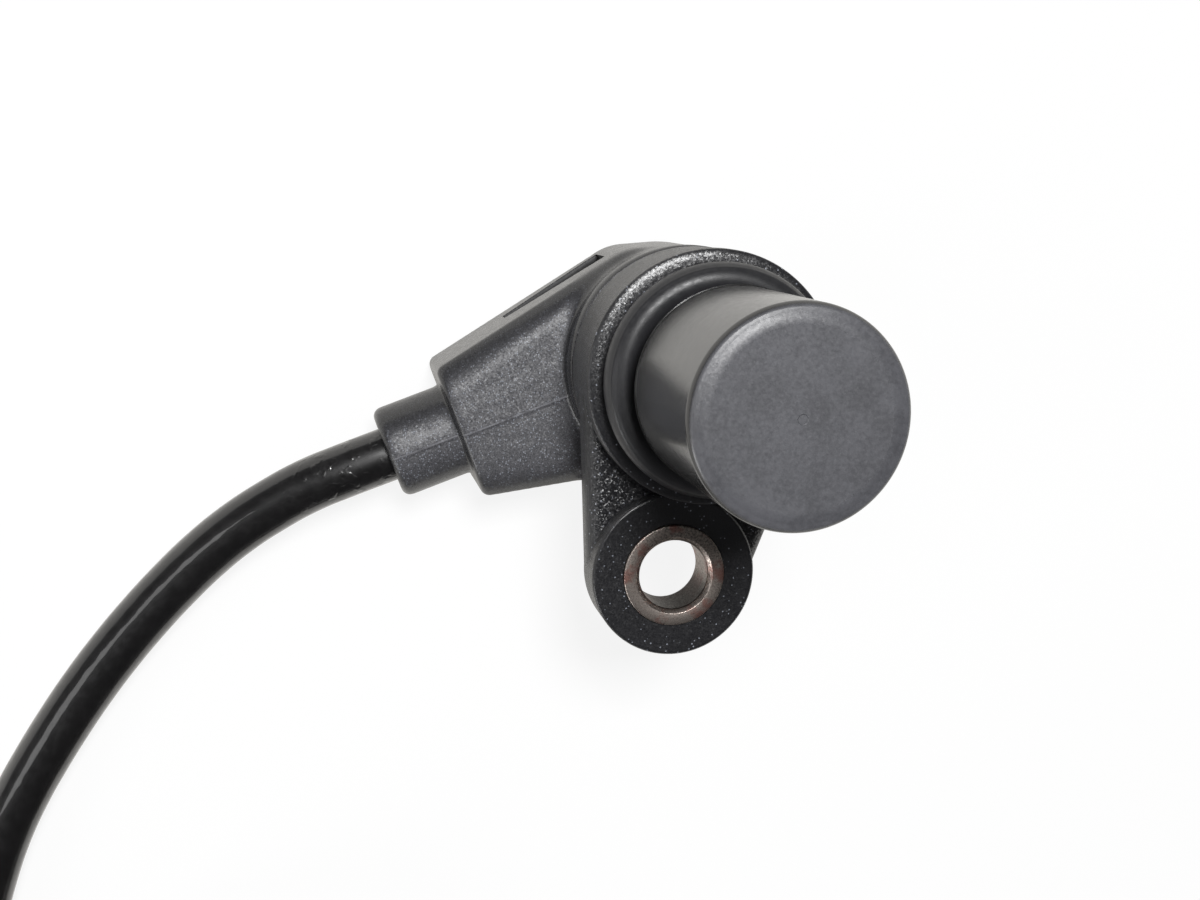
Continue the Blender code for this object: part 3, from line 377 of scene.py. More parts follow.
def addLead(values, material):
    points = [neckPoint(along, neckShift, values["axisHeight"]) for along in values["inside"]]
    points += [Vector(point) for point in values["free"]]
    count = round(values["coilEnd"] / values["coilStep"])
    points += [coilPoint(values, i * values["coilStep"]) for i in range(count + 1)]
    points += [Vector(point) for point in values["after"] + values["tail"]]
    shape = bpy.data.curves.new("signalLead", "CURVE")
    shape.dimensions = "3D"
    shape.bevel_depth = values["radius"] * mm
    shape.bevel_resolution = 10
    shape.resolution_u = 5
    shape.use_fill_caps = True
    line = shape.splines.new("BEZIER")
    line.bezier_points.add(len(points) - 1)
    for knot, point in zip(line.bezier_points, points):
        knot.co = point * mm
        knot.handle_left_type = knot.handle_right_type = "AUTO"
    lead = bpy.data.objects.new("signalLead", shape)
    bpy.context.scene.collection.objects.link(lead)
    lead.data.materials.append(material)
    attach(lead, "root")
    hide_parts("signal_cable", "cable_coil", "cable_tail")
    return lead


# materials
plasticSet = {
    "moulded": (0.018, 0.018, 0.020),
    "dark": (0.0120, 0.0120, 0.0140),
    # sensing face colour, paler partly as painted light
    "frostedLit": (0.098, 0.099, 0.110),
    "noseWall": (0.018, 0.018, 0.018),
    # colour of the painted glints
    "paintedGlint": (0.30, 0.32, 0.37),
    "paintedTopLight": (0.080, 0.080, 0.088),  # painted light: paler grain colour on faces that look along Z, where the lamp from above falls
    # painted shade inside the neck's slot
    "shadedRecess": (0.006, 0.006, 0.007),
    # colour of the painted highlight along the mould line's lip
    "paintedLipHighlight": (0.26, 0.26, 0.28),
    "acrossNeck": (0.5, -0.866, 0.0),  # across the neck, and where its mould line runs
    "mouldLine": -0.95 * mm,
    "grain": 0.12 * mm,
    "grainReach": 0.17,  # how far the grain's facets lean
}


# 1 on faces that look along Z, 0 on upright walls, which a mould leaves smoother
def facingShare(tree):
    normal = addNode(tree, "TexCoord").outputs["Normal"]
    rise = addNode(tree, "SeparateXYZ", {"Vector": normal}).outputs["Z"]
    return between(tree, reckon(tree, "ABSOLUTE", rise), 0.6, 1.0)


# darkens and brightens the colour from grain to grain
def grainedColour(tree, place, size, colour, low, high):
    tint = between(tree, noiseOf(tree, place, size, 1.0, 0.7), 0.36, 0.66, low, high)
    return addNode(tree, "VectorMath", {0: colour, "Scale": tint}, operation="SCALE").outputs["Vector"]


# spark-eroded grain: small facets, each leaning its own way
def grainNormal(tree, place, size, reach, under):
    first = addNode(tree, "TexVoronoi", {"Vector": place, "Scale": 1.0 / size}).outputs["Color"]
    second = addNode(tree, "TexVoronoi", {"Vector": place, "Scale": 0.71 / size}).outputs["Color"]
    lean = addNode(tree, "VectorMath", {0: first, 1: second}, operation="ADD").outputs["Vector"]
    lean = addNode(tree, "VectorMath", {0: lean, 1: (1.0, 1.0, 1.0)}, operation="SUBTRACT").outputs["Vector"]
    lean = addNode(tree, "VectorMath", {0: lean, "Scale": reach}, operation="SCALE").outputs["Vector"]
    lean = addNode(tree, "VectorMath", {0: under, 1: lean}, operation="ADD").outputs["Vector"]
    return addNode(tree, "VectorMath", {0: lean}, operation="NORMALIZE").outputs["Vector"]


# glass-filled plastic: frosted sensing face, made paler partly as painted light, satin nose wall, grained flange and
# ear
def housingMaterial(values):
    material, tree, shader, place = newMaterial("housingPlastic", IOR=1.55, Specular_IOR_Level=0.75)
    height = addNode(tree, "SeparateXYZ", {"Vector": place}).outputs["Z"]
    onFace = between(tree, height, 49.5 * mm, 49.75 * mm)
    onNose = between(tree, height, 31.3 * mm, 31.5 * mm)
    cloud = noiseOf(tree, place, 3.2 * mm, 4.0, 0.6)
    fine = noiseOf(tree, place, 0.42 * mm, 2.0, 0.6)

    flange = mixColours(tree, between(tree, cloud, 0.3, 0.7), values["dark"], [1.35 * c for c in values["dark"]])
    flange = grainedColour(tree, place, values["grain"], flange, 0.6, 1.5)
    # painted glints: a few pale dots on the flange and ear
    flange = mixColours(tree, paintedGlintsOf(tree, place, 0.20 * mm, 0.05, 0.5), flange, values["paintedGlint"])
    rings = reckon(tree, "MULTIPLY", height, 1 / (0.22 * mm))
    rings = addNode(tree, "TexNoise", {"W": rings}, noise_dimensions="1D")
    rings = between(tree, rings.outputs["Fac"], 0.35, 0.65)  # fine lines round the flange's wall
    wall = mixColours(tree, between(tree, cloud, 0.3, 0.7), values["noseWall"], [1.3 * c for c in values["noseWall"]])
    mottled = reckon(tree, "ADD", reckon(tree, "MULTIPLY", cloud, 0.6), reckon(tree, "MULTIPLY", fine, 0.4))
    # the sensing face is frosted and paler; part of that paleness is painted light on the face that looks up
    face = mixColours(tree, between(tree, mottled, 0.36, 0.64), [0.84 * c for c in values["frostedLit"]],
                      [1.16 * c for c in values["frostedLit"]])
    smudge = reckon(tree, "MULTIPLY", between(tree, noiseOf(tree, place, 1.6 * mm, 3.0, 0.7), 0.66, 0.8), 0.35)
    face = mixColours(tree, smudge, face, [1.9 * c for c in values["frostedLit"]])
    colour = mixColours(tree, onFace, mixColours(tree, onNose, flange, wall), face)
    tree.links.new(colour, shader.inputs["Base Color"])

    satin = reckon(tree, "ADD", 0.33, reckon(tree, "MULTIPLY", onNose, -0.15))
    rough = reckon(tree, "ADD", satin, reckon(tree, "MULTIPLY", onFace, 0.25))
    rough = reckon(tree, "ADD", rough, between(tree, fine, 0.3, 0.7, -0.03, 0.03))
    tree.links.new(rough, shader.inputs["Roughness"])

    coarse = reckon(tree, "SUBTRACT", 1.0, reckon(tree, "MULTIPLY", onNose, 0.97))
    facing = facingShare(tree)
    upright = reckon(tree, "MULTIPLY", reckon(tree, "SUBTRACT", 1.0, facing), coarse)
    coarse = reckon(tree, "MULTIPLY", coarse, between(tree, facing, 0.0, 1.0, 0.3, 1.0))
    coarse = reckon(tree, "ADD", coarse, reckon(tree, "MULTIPLY", onFace, 0.4))
    onEar = between(tree, height, 22.9 * mm, 22.5 * mm, 0.65, 2.4)  # the ear's grain is the coarsest
    reach = reckon(tree, "MULTIPLY", reckon(tree, "MULTIPLY", coarse, onEar), values["grainReach"])
    lumps = bumpOf(tree, reckon(tree, "MULTIPLY", noiseOf(tree, place, 0.24 * mm), coarse), 0.012 * mm)
    lumps = bumpOf(tree, reckon(tree, "MULTIPLY", rings, upright), 0.012 * mm, lumps)
    tree.links.new(grainNormal(tree, place, values["grain"], reach, lumps), shader.inputs["Normal"])
    return material


def overmouldMaterial(values):  # spark-eroded grain all over, with small glints from its facets and white dots painted in as glints
    material, tree, shader, place = newMaterial("overmouldPlastic", IOR=1.55, Specular_IOR_Level=0.62)
    cloud = noiseOf(tree, place, 2.6 * mm, 4.0, 0.6)
    colour = mixColours(tree, between(tree, cloud, 0.3, 0.7), values["moulded"], [1.3 * c for c in values["moulded"]])
    height = addNode(tree, "SeparateXYZ", {"Vector": place}).outputs["Z"]
    facing = reckon(tree, "MULTIPLY", facingShare(tree), between(tree, height, 7.0 * mm, 9.5 * mm))
    shadedRecess = addNode(tree, "Attribute", attribute_name="shadedRecess").outputs["Fac"]  # the neck's slot, left matt and painted dark as shade
    facing = reckon(tree, "MULTIPLY", facing, reckon(tree, "SUBTRACT", 1.0, shadedRecess))
    # painted light: faces that look along Z take a paler colour, as if lit from above
    colour = mixColours(tree, facing, colour, values["paintedTopLight"])
    colour = grainedColour(tree, place, values["grain"], colour, 0.6, 1.45)
    # painted glints, more of them on faces that look along Z, where the lamp falls
    glintShare = between(tree, facing, 0.0, 1.0, 0.10, 0.8)
    glintShare = reckon(tree, "MULTIPLY", paintedGlintsOf(tree, place, 0.19 * mm, 0.24, 0.5), glintShare)
    colour = mixColours(tree, glintShare, colour, values["paintedGlint"])
    across = addNode(tree, "VectorMath", {0: place, 1: values["acrossNeck"]}, operation="DOT_PRODUCT")
    across = reckon(tree, "ABSOLUTE", reckon(tree, "SUBTRACT", across.outputs["Value"], values["mouldLine"]))
    # painted highlight along the lip of the mould line
    lipShine = reckon(tree, "MULTIPLY", between(tree, across, 0.13 * mm, 0.05 * mm), facing)
    lipShine = reckon(tree, "MULTIPLY", lipShine, between(tree, noiseOf(tree, place, 1.5 * mm), 0.3, 0.6, 0.25, 0.8))
    colour = mixColours(tree, lipShine, colour, values["paintedLipHighlight"])
    # painted shade: the slot's floor is made near black
    colour = mixColours(tree, shadedRecess, colour, values["shadedRecess"])
    tree.links.new(colour, shader.inputs["Base Color"])
    rough = reckon(tree, "ADD", between(tree, noiseOf(tree, place, 0.6 * mm), 0.3, 0.7, 0.24, 0.29),
                   reckon(tree, "MULTIPLY", facing, 0.20))
    rough = reckon(tree, "ADD", rough, reckon(tree, "MULTIPLY", shadedRecess, 0.5))
    tree.links.new(rough, shader.inputs["Roughness"])
    coarse = between(tree, facing, 0.0, 1.0, 0.25, 1.0)
    lumps = bumpOf(tree, reckon(tree, "MULTIPLY", noiseOf(tree, place, 0.24 * mm), coarse), 0.016 * mm)
    reach = reckon(tree, "MULTIPLY", coarse, values["grainReach"])
    tree.links.new(grainNormal(tree, place, values["grain"], reach, lumps), shader.inputs["Normal"])
    return material


def rubberMaterial(name, colour, roughness):
    material, tree, shader, place = newMaterial(name)
    cloud = noiseOf(tree, place, 1.8 * mm, 3.0)
    tree.links.new(mixColours(tree, cloud, colour, [1.4 * c for c in colour]), shader.inputs["Base Color"])
    rough = between(tree, noiseOf(tree, place, 0.5 * mm), 0.3, 0.7, roughness - 0.06, roughness + 0.06)
    tree.links.new(rough, shader.inputs["Roughness"])
    tree.links.new(bumpOf(tree, noiseOf(tree, place, 0.2 * mm), 0.006 * mm), shader.inputs["Normal"])
    return material


def jacketMaterial():  # glossy black jacket, slightly wavy, with creases where it leaves the collar
    material, tree, shader, place = newMaterial("cableJacket", Coat_Weight=0.9, Coat_Roughness=0.05)
    cloud = noiseOf(tree, place, 4.0 * mm, 3.0)
    colour = mixColours(tree, cloud, (0.0035, 0.0034, 0.0038), (0.0075, 0.0068, 0.0074))
    tree.links.new(colour, shader.inputs["Base Color"])
    rough = between(tree, noiseOf(tree, place, 1.1 * mm, 4.0, 0.65), 0.35, 0.7, 0.34, 0.46)
    tree.links.new(rough, shader.inputs["Roughness"])
    away = addNode(tree, "VectorMath", {0: place, 1: (-0.0305, -0.0168, 0.0085)}, operation="DISTANCE")
    creased = between(tree, away.outputs["Value"], 9.0 * mm, 1.0 * mm)
    creased = reckon(tree, "MULTIPLY", creased, between(tree, noiseOf(tree, place, 1.6 * mm), 0.5, 0.62))
    creases = noiseOf(tree, place, 0.8 * mm, 2.0, 0.5)
    normal = bumpOf(tree, reckon(tree, "MULTIPLY", creases, creased), 0.07 * mm)
    normal = bumpOf(tree, noiseOf(tree, place, 5.0 * mm), 0.10 * mm, normal)
    tree.links.new(normal, shader.inputs["Normal"])
    tree.links.new(normal, shader.inputs["Coat Normal"])
    return material


# machined or rolled metal with darker patches and a stain
def metalMaterial(name, light, dark, stain, roughness, boreShade=None):
    material, tree, shader, place = newMaterial(name, Metallic=1.0)
    fine = noiseOf(tree, place, 0.22 * mm, 4.0, 0.7)
    colour = mixColours(tree, between(tree, fine, 0.38, 0.66), light, dark)
    patches = between(tree, noiseOf(tree, place, 2.4 * mm, 3.0), 0.48, 0.62)
    colour = mixColours(tree, reckon(tree, "MULTIPLY", patches, 0.75), colour, stain)
    if boreShade:  # painted shade on the low side of a bore round this place, standing in for the shadowed floor it would mirror
        apart = addNode(tree, "VectorMath", {0: place, 1: (boreShade[0], boreShade[1], 0.0)}, operation="SUBTRACT")
        parts = addNode(tree, "SeparateXYZ", {"Vector": apart.outputs["Vector"]}).outputs
        flat = addNode(tree, "CombineXYZ", {"X": parts["X"], "Y": parts["Y"]}).outputs["Vector"]
        radius = addNode(tree, "VectorMath", {0: flat}, operation="LENGTH").outputs["Value"]
        inside = between(tree, radius, boreShade[2] + 0.10 * mm, boreShade[2] + 0.02 * mm)
        lean = reckon(tree, "ADD", parts["Y"], reckon(tree, "MULTIPLY", parts["X"], -0.5))
        low = reckon(tree, "MULTIPLY", inside, between(tree, lean, -0.8 * mm, -3.0 * mm, 0.3, 0.93))
        colour = mixColours(tree, low, colour, (0.020, 0.017, 0.015))
    tree.links.new(colour, shader.inputs["Base Color"])
    rough = between(tree, fine, 0.3, 0.7, roughness - 0.07, roughness + 0.12)
    tree.links.new(rough, shader.inputs["Roughness"])
    tree.links.new(bumpOf(tree, fine, 0.010 * mm), shader.inputs["Normal"])
    return material


def mouldedMaterial(name, colour, roughness, grain):  # plain moulded plastic with a faint cloud and grain
    material, tree, shader, place = newMaterial(name)
    cloud = between(tree, noiseOf(tree, place, 1.6 * mm, 4.0, 0.6), 0.3, 0.7)
    tree.links.new(mixColours(tree, cloud, colour, [1.35 * c for c in colour]), shader.inputs["Base Color"])
    fine = noiseOf(tree, place, grain * mm, 2.0, 0.6)
    rough = between(tree, fine, 0.3, 0.7, roughness - 0.06, roughness + 0.06)
    tree.links.new(rough, shader.inputs["Roughness"])
    tree.links.new(bumpOf(tree, fine, 0.12 * grain * mm), shader.inputs["Normal"])
    return material


def windingMaterial(wire):  # layers of fine wire, one turn beside the other along Z
    material, tree, shader, place = newMaterial(
        "copperWire", Metallic=1.0, Coat_Weight=0.4, Coat_Roughness=0.12)
    wander = reckon(tree, "MULTIPLY", noiseOf(tree, place, 1.2 * mm), 0.25 * wire * mm)
    height = reckon(tree, "ADD", addNode(tree, "SeparateXYZ", {"Vector": place}).outputs["Z"], wander)
    turn = reckon(tree, "SINE", reckon(tree, "MULTIPLY", height, math.tau / (wire * mm)))
    crest = between(tree, turn, -1.0, 1.0)
    # painted shade: the colour darkens in the grooves between turns
    colour = mixColours(tree, crest, (0.30, 0.10, 0.035), (0.74, 0.34, 0.16))
    tree.links.new(colour, shader.inputs["Base Color"])
    tree.links.new(between(tree, crest, 0.0, 1.0, 0.42, 0.24), shader.inputs["Roughness"])
    tree.links.new(bumpOf(tree, crest, 0.3 * wire * mm), shader.inputs["Normal"])
    return material


housingPlastic = housingMaterial(plasticSet)
overmouldPlastic = overmouldMaterial(plasticSet)
sealRubber = rubberMaterial("sealRubber", (0.019, 0.019, 0.021), 0.40)
bootRubber = rubberMaterial("bootRubber", (0.014, 0.014, 0.015), 0.55)
cableJacket = jacketMaterial()
# the bush's bore gets painted shade on its low side
bushSteel = metalMaterial("bushSteel", (0.62, 0.55, 0.50), (0.25, 0.21, 0.19), (0.38, 0.18, 0.15), 0.38,
                          boreShade=(0.0, -18.95 * mm, 3.3 * mm))
tinnedBrass = metalMaterial("tinnedBrass", (0.66, 0.64, 0.58), (0.55, 0.52, 0.45), (0.60, 0.56, 0.47), 0.24)
softIron = metalMaterial("softIron", (0.46, 0.45, 0.44), (0.34, 0.33, 0.33), (0.40, 0.36, 0.33), 0.36)
magnetAlloy = metalMaterial("magnetAlloy", (0.34, 0.34, 0.35), (0.22, 0.22, 0.23), (0.28, 0.26, 0.26), 0.5)
copperWire = windingMaterial(0.12)
plugPlastic = mouldedMaterial("plugPlastic", (0.026, 0.027, 0.029), 0.42, 0.10)
carrierPlastic = mouldedMaterial("carrierPlastic", (0.15, 0.16, 0.17), 0.45, 0.12)
bobbinPlastic = mouldedMaterial("bobbinPlastic", (0.10, 0.085, 0.06), 0.4, 0.14)
tieNylon = mouldedMaterial("tieNylon", (0.020, 0.020, 0.022), 0.34, 0.3)
brownCore = mouldedMaterial("brownCore", (0.11, 0.045, 0.022), 0.3, 0.4)
whiteCore = mouldedMaterial("whiteCore", (0.60, 0.60, 0.57), 0.32, 0.4)
print("materials made")


# front housing
housingSet = {
    "base": 16.3, "flangeFace": 25.0, "tip": 50.0, "flangeRadius": 11.85, "flangeEdge": (1.25, 0.38),
    "rim": 2.0, "step": 0.15, "noseRadius": 9.0, "noseEdge": 0.8, "faceFall": 0.2, "faceEdge": 1.0,
    "flash": 0.09, "flashPlace": 31.9,  # faint line near the groove
    "grooveRadius": 7.3, "grooveEnd": 31.5, "grooveEdge": 0.18,
    "pocketRadius": 9.0, "pocketTop": 20.0, "boreRadius": 5.6, "boreTop": 48.8,
    "gateRadius": 0.45, "gateDepth": 0.06,
    "earDistance": 18.95, "earRadius": 7.8, "earBase": 19.2, "webTop": 22.3, "webEdge": 1.6,
    "bossTop": 24.0, "bossEdge": 0.35, "holeRadius": 4.9, "steps": 224,
}


def addHousing(values):
    v = values
    stepHeight = v["flangeFace"] - v["rim"]
    lower = v["flangeRadius"] - v["step"]
    outline = [(0.0, v["tip"] - v["gateDepth"]), (0.8 * v["gateRadius"], v["tip"] - v["gateDepth"])]
    outline += [(v["gateRadius"], v["tip"])]
    edge, fall = v["noseEdge"], v["faceFall"]
    flat = v["noseRadius"] - edge * math.cos(math.radians(24)) - v["faceEdge"]
    for i in range(7):  # the face falls off gently towards its rim
        share = i / 6
        outline += [(flat + v["faceEdge"] * share, v["tip"] - fall * share * share)]
    rimMiddle = (v["noseRadius"] - edge, v["tip"] - fall - edge * math.sin(math.radians(68)))
    outline += arcOf(rimMiddle, edge, 66, 0, 8)
    flash, place = v["flash"], v["flashPlace"]
    outline += [(v["noseRadius"], place + 0.5 * flash), (v["noseRadius"] + flash, place + 0.1 * flash)]
    outline += [(v["noseRadius"] + flash, place - 0.3 * flash), (v["noseRadius"], place - 0.6 * flash)]
    grooveMiddle = (v["noseRadius"] - v["grooveEdge"], v["grooveEnd"] + v["grooveEdge"])
    outline += arcOf(grooveMiddle, v["grooveEdge"], 0, -90, 4)
    outline += [(v["grooveRadius"], v["grooveEnd"]), (v["grooveRadius"], v["flangeFace"])]
    wide, fall = v["flangeEdge"]
    for across, up in arcOf((0.0, 0.0), 1.0, 90, 0, 12):
        outline.append((v["flangeRadius"] - wide * (1 - across), v["flangeFace"] - fall * (1 - up)))
    outline += [(v["flangeRadius"], stepHeight), (lower - v["step"], stepHeight - v["step"])]
    outline += [(lower, stepHeight - 2 * v["step"]), (lower, v["base"] + 0.1), (lower - 0.12, v["base"])]
    outline += [(v["pocketRadius"], v["base"]), (v["pocketRadius"], v["pocketTop"])]
    outline += [(v["boreRadius"], v["pocketTop"]), (v["boreRadius"], v["boreTop"]), (0.0, v["boreTop"])]
    housing = turnPiece("sensorHousing", [(r * mm, z * mm) for r, z in outline], v["steps"])

    ear = (0.0, -v["earDistance"] * mm)
    circles = [(0.0, 0.0, (lower - 0.03) * mm), (*ear, (v["earRadius"] - 0.03) * mm)]
    web = hullPiece("earWeb", circles, v["earBase"] * mm, v["webTop"] * mm)
    roundRim(web, v["webTop"] * mm, v["webEdge"] * mm, 8)
    roundRim(web, v["earBase"] * mm, v["bossEdge"] * mm, 3)
    boss = drumPiece("earBoss", v["earRadius"] * mm, (v["earBase"] + 0.03) * mm, v["bossTop"] * mm, ear)
    roundRim(boss, v["bossTop"] * mm, v["bossEdge"] * mm, 5)
    roundRim(boss, (v["earBase"] + 0.03) * mm, v["bossEdge"] * mm, 3)
    combine(web, boss, "UNION")
    hole = drumPiece("bushHole", v["holeRadius"] * mm, (v["earBase"] - 1) * mm, (v["bossTop"] + 1) * mm, ear)
    combine(web, hole, "DIFFERENCE")
    core = drumPiece("pocketCore", (v["pocketRadius"] + 0.5) * mm, (v["earBase"] - 1) * mm, 24 * mm)
    combine(web, core, "DIFFERENCE")
    combine(housing, web, "UNION")
    settleNormals(housing)
    shadePiece(housing, 32)
    finishPiece(housing, housingPlastic, "housing_plastic", "sensor_housing")
    print("front housing made")


addHousing(housingSet)


# sealing ring
ringSet = {"radius": 9.2, "cord": 1.6, "height": 27.1, "flash": 0.05, "flashPoint": 8, "points": 64}


def addRing(values):
    v = values
    outline = []
    for i in range(v["points"]):
        angle = math.tau * i / v["points"]
        cord = v["cord"]
        if i == v["flashPoint"]:  # the mould's flash line, seen on the outer upper side
            cord += v["flash"]
        across, height = v["radius"] + cord * math.cos(angle), v["height"] + cord * math.sin(angle)
        outline.append((across * mm, height * mm))
    ring = turnPiece("sealingRing", outline, 192, closed=True)
    shadePiece(ring, 60)
    finishPiece(ring, sealRubber, "seal_rubber", "o_ring")
    print("sealing ring made")


addRing(ringSet)


# bush
bushSet = {
    "bore": 3.3, "radius": 4.84, "low": 19.0, "high": 24.2, "chamfer": 0.37, "edge": 0.16, "roll": 0.07,
    "place": (0.0, -18.95),
}


def addBush(values):
    v = values
    low, high, bore, radius = v["low"], v["high"], v["bore"], v["radius"]
    outline = [(bore, low + v["chamfer"]), (bore + 0.04, low + 0.6 * v["chamfer"])]
    outline += [(bore + v["chamfer"], low), (radius - v["edge"], low), (radius, low + v["edge"])]
    outline += arcOf((radius - v["edge"], high - v["edge"]), v["edge"], 0, 90, 4)
    outline += arcOf((bore + v["chamfer"] + v["roll"], high - v["roll"]), v["roll"], 90, 135, 2)
    outline += [(bore + 0.05, high - v["chamfer"] + 0.02), (bore, high - v["chamfer"] - 0.08)]
    bush = turnPiece("compressionBush", [(r * mm, z * mm) for r, z in outline], 160, closed=True)
    placePiece(bush, shift=(v["place"][0] * mm, v["place"][1] * mm, 0.0))
    shadePiece(bush, 25)
    finishPiece(bush, bushSteel, "bush_steel", "compression_bush")
    print("bush made")


addBush(bushSet)


# rear overmould
overmouldSet = {
    "bodyRadius": 11.6, "bodyHeight": 15.5, "bodyEdge": 1.0, "topEdge": 0.35, "cheekRadius": 6.0,
    "cheekHeight": 11.0, "cheekEdge": 1.0, "bandRadius": 11.75, "bandHeight": 1.9, "bandEdge": 0.16,
    "shoulderRadius": 1.5, "flangeRadius": 11.85, "earRadius": 7.8, "earDistance": 18.95,
    "neckEnd": 23.0, "neckRoot": 3.2, "halfWidth": 6.85, "taper": math.radians(12.0), "neckEdge": 0.7,
    "crest": 12.1, "sideHeight": 9.9, "shoulderEnd": 3.4, "shoulderRoot": 1.9,
    "collarRadius": 4.7, "collarEnd": 30.3, "collarStart": 20.0, "collarEdge": 0.9, "axisHeight": 6.0,
    "voxel": 0.21, "fillet": 1.7, "lineStart": 10.8, "lineRun": 1.5,
    "lineDrop": 0.11, "lineLip": 0.09, "lineWidth": (0.24, 0.07), "lineFade": 3.2,
    "slotStart": 2.8, "slotLength": 11.8, "slotWidth": 4.6, "slotPoint": 1.8,
    "slotDepth": 0.6, "slotHeight": 4.6, "slotEdge": 0.2,
    "cavityRadius": 7.6, "floor": 2.5, "spigotRadius": 8.7, "spigotTop": 19.2, "cableBore": 2.8,
}


# circle inside two lines, each given as (normal x, normal y, distance from the origin)
def circleTouching(first, second, radius):
    a, b = first[2] - radius, second[2] - radius
    cross = first[0] * second[1] - first[1] * second[0]
    return (a * second[1] - b * first[1]) / cross, (first[0] * b - second[0] * a) / cross, radius


def bodyCircles(values):  # plan circles of the rear body in the neck's frame, in mm
    v = values
    side, front = math.sin(v["taper"]), math.cos(v["taper"])
    reach = (v["halfWidth"] + v["neckEnd"] * math.tan(v["taper"])) * front
    upper = (side, -front, reach - neckShift * front)
    lower = (side, front, reach + neckShift * front)
    lean = math.asin((v["flangeRadius"] - v["earRadius"]) / v["earDistance"])
    earAngle = -math.pi / 2 - neckTurn - math.pi / 2 + lean
    earWall = (math.cos(earAngle), math.sin(earAngle), v["bodyRadius"])
    cheek = upper[2] - v["cheekRadius"]
    circles = [(0.0, 0.0, v["bodyRadius"]), (upper[0] * cheek, upper[1] * cheek, v["cheekRadius"])]
    return circles + [circleTouching(earWall, lower, v["shoulderRadius"])]


# adds the neck's outline at this place, point by point, to the mesh in edit mode
def drawSection(values, along):
    v = values
    half = v["halfWidth"] + (v["neckEnd"] - along) * math.tan(v["taper"])
    share = (along - v["neckRoot"]) / (v["neckEnd"] - v["neckRoot"])
    shoulder = v["shoulderRoot"] + (v["shoulderEnd"] - v["shoulderRoot"]) * share
    side, flat, edge = v["sideHeight"], v["crest"] - 0.2, v["bodyEdge"]
    start, pull, end = (half, side), (half - 0.45 * shoulder, flat - 0.1), (half - shoulder, flat)
    right = [(half - edge, 0.0), (half - 0.3 * edge, 0.3 * edge), (half, edge)]
    for i in range(9):
        t = i / 8
        right.append(tuple(
            (1 - t) ** 2 * a + 2 * t * (1 - t) * b + t ** 2 * c for a, b, c in zip(start, pull, end)))
    outline = right + [(0.5 * end[0], v["crest"] - 0.07), (0.0, v["crest"])]
    outline += [(-across, z) for across, z in outline[-2::-1]]
    points = [Vector((along, neckShift + across, z)) * mm for across, z in outline]
    bpy.ops.mesh.primitive_plane_add(size=0.1 * mm, location=points[0])
    bpy.ops.mesh.merge(type="CENTER")
    for here, there in zip(points, points[1:] + points[:1]):
        bpy.ops.mesh.extrude_region_move(TRANSFORM_OT_translate={"value": there - here})


def addNeck(values):  # two outlines bridged into a tapered block, with its end edge rounded
    v = values
    deselectAll()
    bpy.ops.mesh.primitive_plane_add(size=mm, location=(0, 0, 0))
    neck = nameIt("neckBlock")
    bpy.ops.object.mode_set(mode="EDIT")
    bpy.ops.mesh.select_mode(type="VERT")
    bpy.ops.mesh.select_all(action="SELECT")
    bpy.ops.mesh.delete(type="VERT")
    drawSection(v, v["neckRoot"])
    drawSection(v, v["neckEnd"])
    bpy.ops.mesh.select_all(action="SELECT")
    bpy.ops.mesh.remove_doubles(threshold=0.002 * mm)
    bpy.ops.mesh.bridge_edge_loops()
    for along in (v["neckRoot"], v["neckEnd"]):
        choose(neck, lambda middle, line: abs(middle.x - along * mm) < 0.01 * mm, "EDGE")
        bpy.ops.mesh.edge_face_add()
    choose(neck, lambda middle, line: abs(middle.x - v["neckEnd"] * mm) < 0.01 * mm, "EDGE")
    bpy.ops.mesh.bevel(offset=v["neckEdge"] * mm, segments=5, affect="EDGES", clamp_overlap=True)
    bpy.ops.object.mode_set(mode="OBJECT")
    settleNormals(neck)
    return neck


def addCollar(values):
    v = values
    length = v["collarEnd"] - v["collarStart"]
    collar = drumPiece("collarDrum", v["collarRadius"] * mm, 0.0, length * mm, vertices=96)
    roundRim(collar, length * mm, v["collarEdge"] * mm, 6)
    placePiece(collar, (0, math.pi / 2, 0), Vector((v["collarStart"], neckShift, v["axisHeight"])) * mm)
    return collar


def softenRoot(piece, values):  # smooths the corner where the neck runs into the round body
    v = values
    pickOnly(piece)
    bpy.ops.object.mode_set(mode="EDIT")

    def nearRoot(place, corner):
        spot = place / mm
        gap = math.hypot(spot.x, spot.y) - v["bodyRadius"]
        level = v["cheekHeight"] - 2 < spot.z < v["crest"] + v["fillet"]
        return level and (spot.x > 3 or abs(spot.y) > 9) and -0.3 < gap < 0.9 * v["fillet"]

    choose(piece, nearRoot, "VERT")
    bpy.ops.mesh.vertices_smooth(factor=0.5, repeat=30)
    choose(piece, lambda place, corner: place.z > 1.5 * mm and place.x > 3 * mm, "VERT")
    bpy.ops.mesh.vertices_smooth(factor=0.5, repeat=4)
    bpy.ops.object.mode_set(mode="OBJECT")


# cuts along the neck's crest and sets one half a little deeper there
def addMouldLine(piece, values):
    v = values
    pickOnly(piece)
    bpy.ops.object.mode_set(mode="EDIT")
    before, behind = v["lineWidth"]
    for across in (neckShift - before, neckShift, neckShift + behind):
        bpy.ops.mesh.select_all(action="SELECT")
        bpy.ops.mesh.bisect(plane_co=(0, across * mm, 0), plane_no=(0, 1, 0))
    bpy.ops.object.mode_set(mode="OBJECT")
    for corner in piece.data.vertices:
        place = corner.co / mm
        if place.x < v["lineStart"] or place.z < v["axisHeight"]:
            continue
        past = place.y - neckShift
        shallow = min(1.0, (place.x - v["lineStart"]) / v["lineRun"])
        if past > 0.5 * behind:
            corner.co.z -= v["lineDrop"] * mm * max(0.0, 1 - (past - behind) / v["lineFade"]) * shallow
        elif abs(past) < 0.1 * behind:  # fine lip along the line
            corner.co.z += v["lineLip"] * mm * shallow


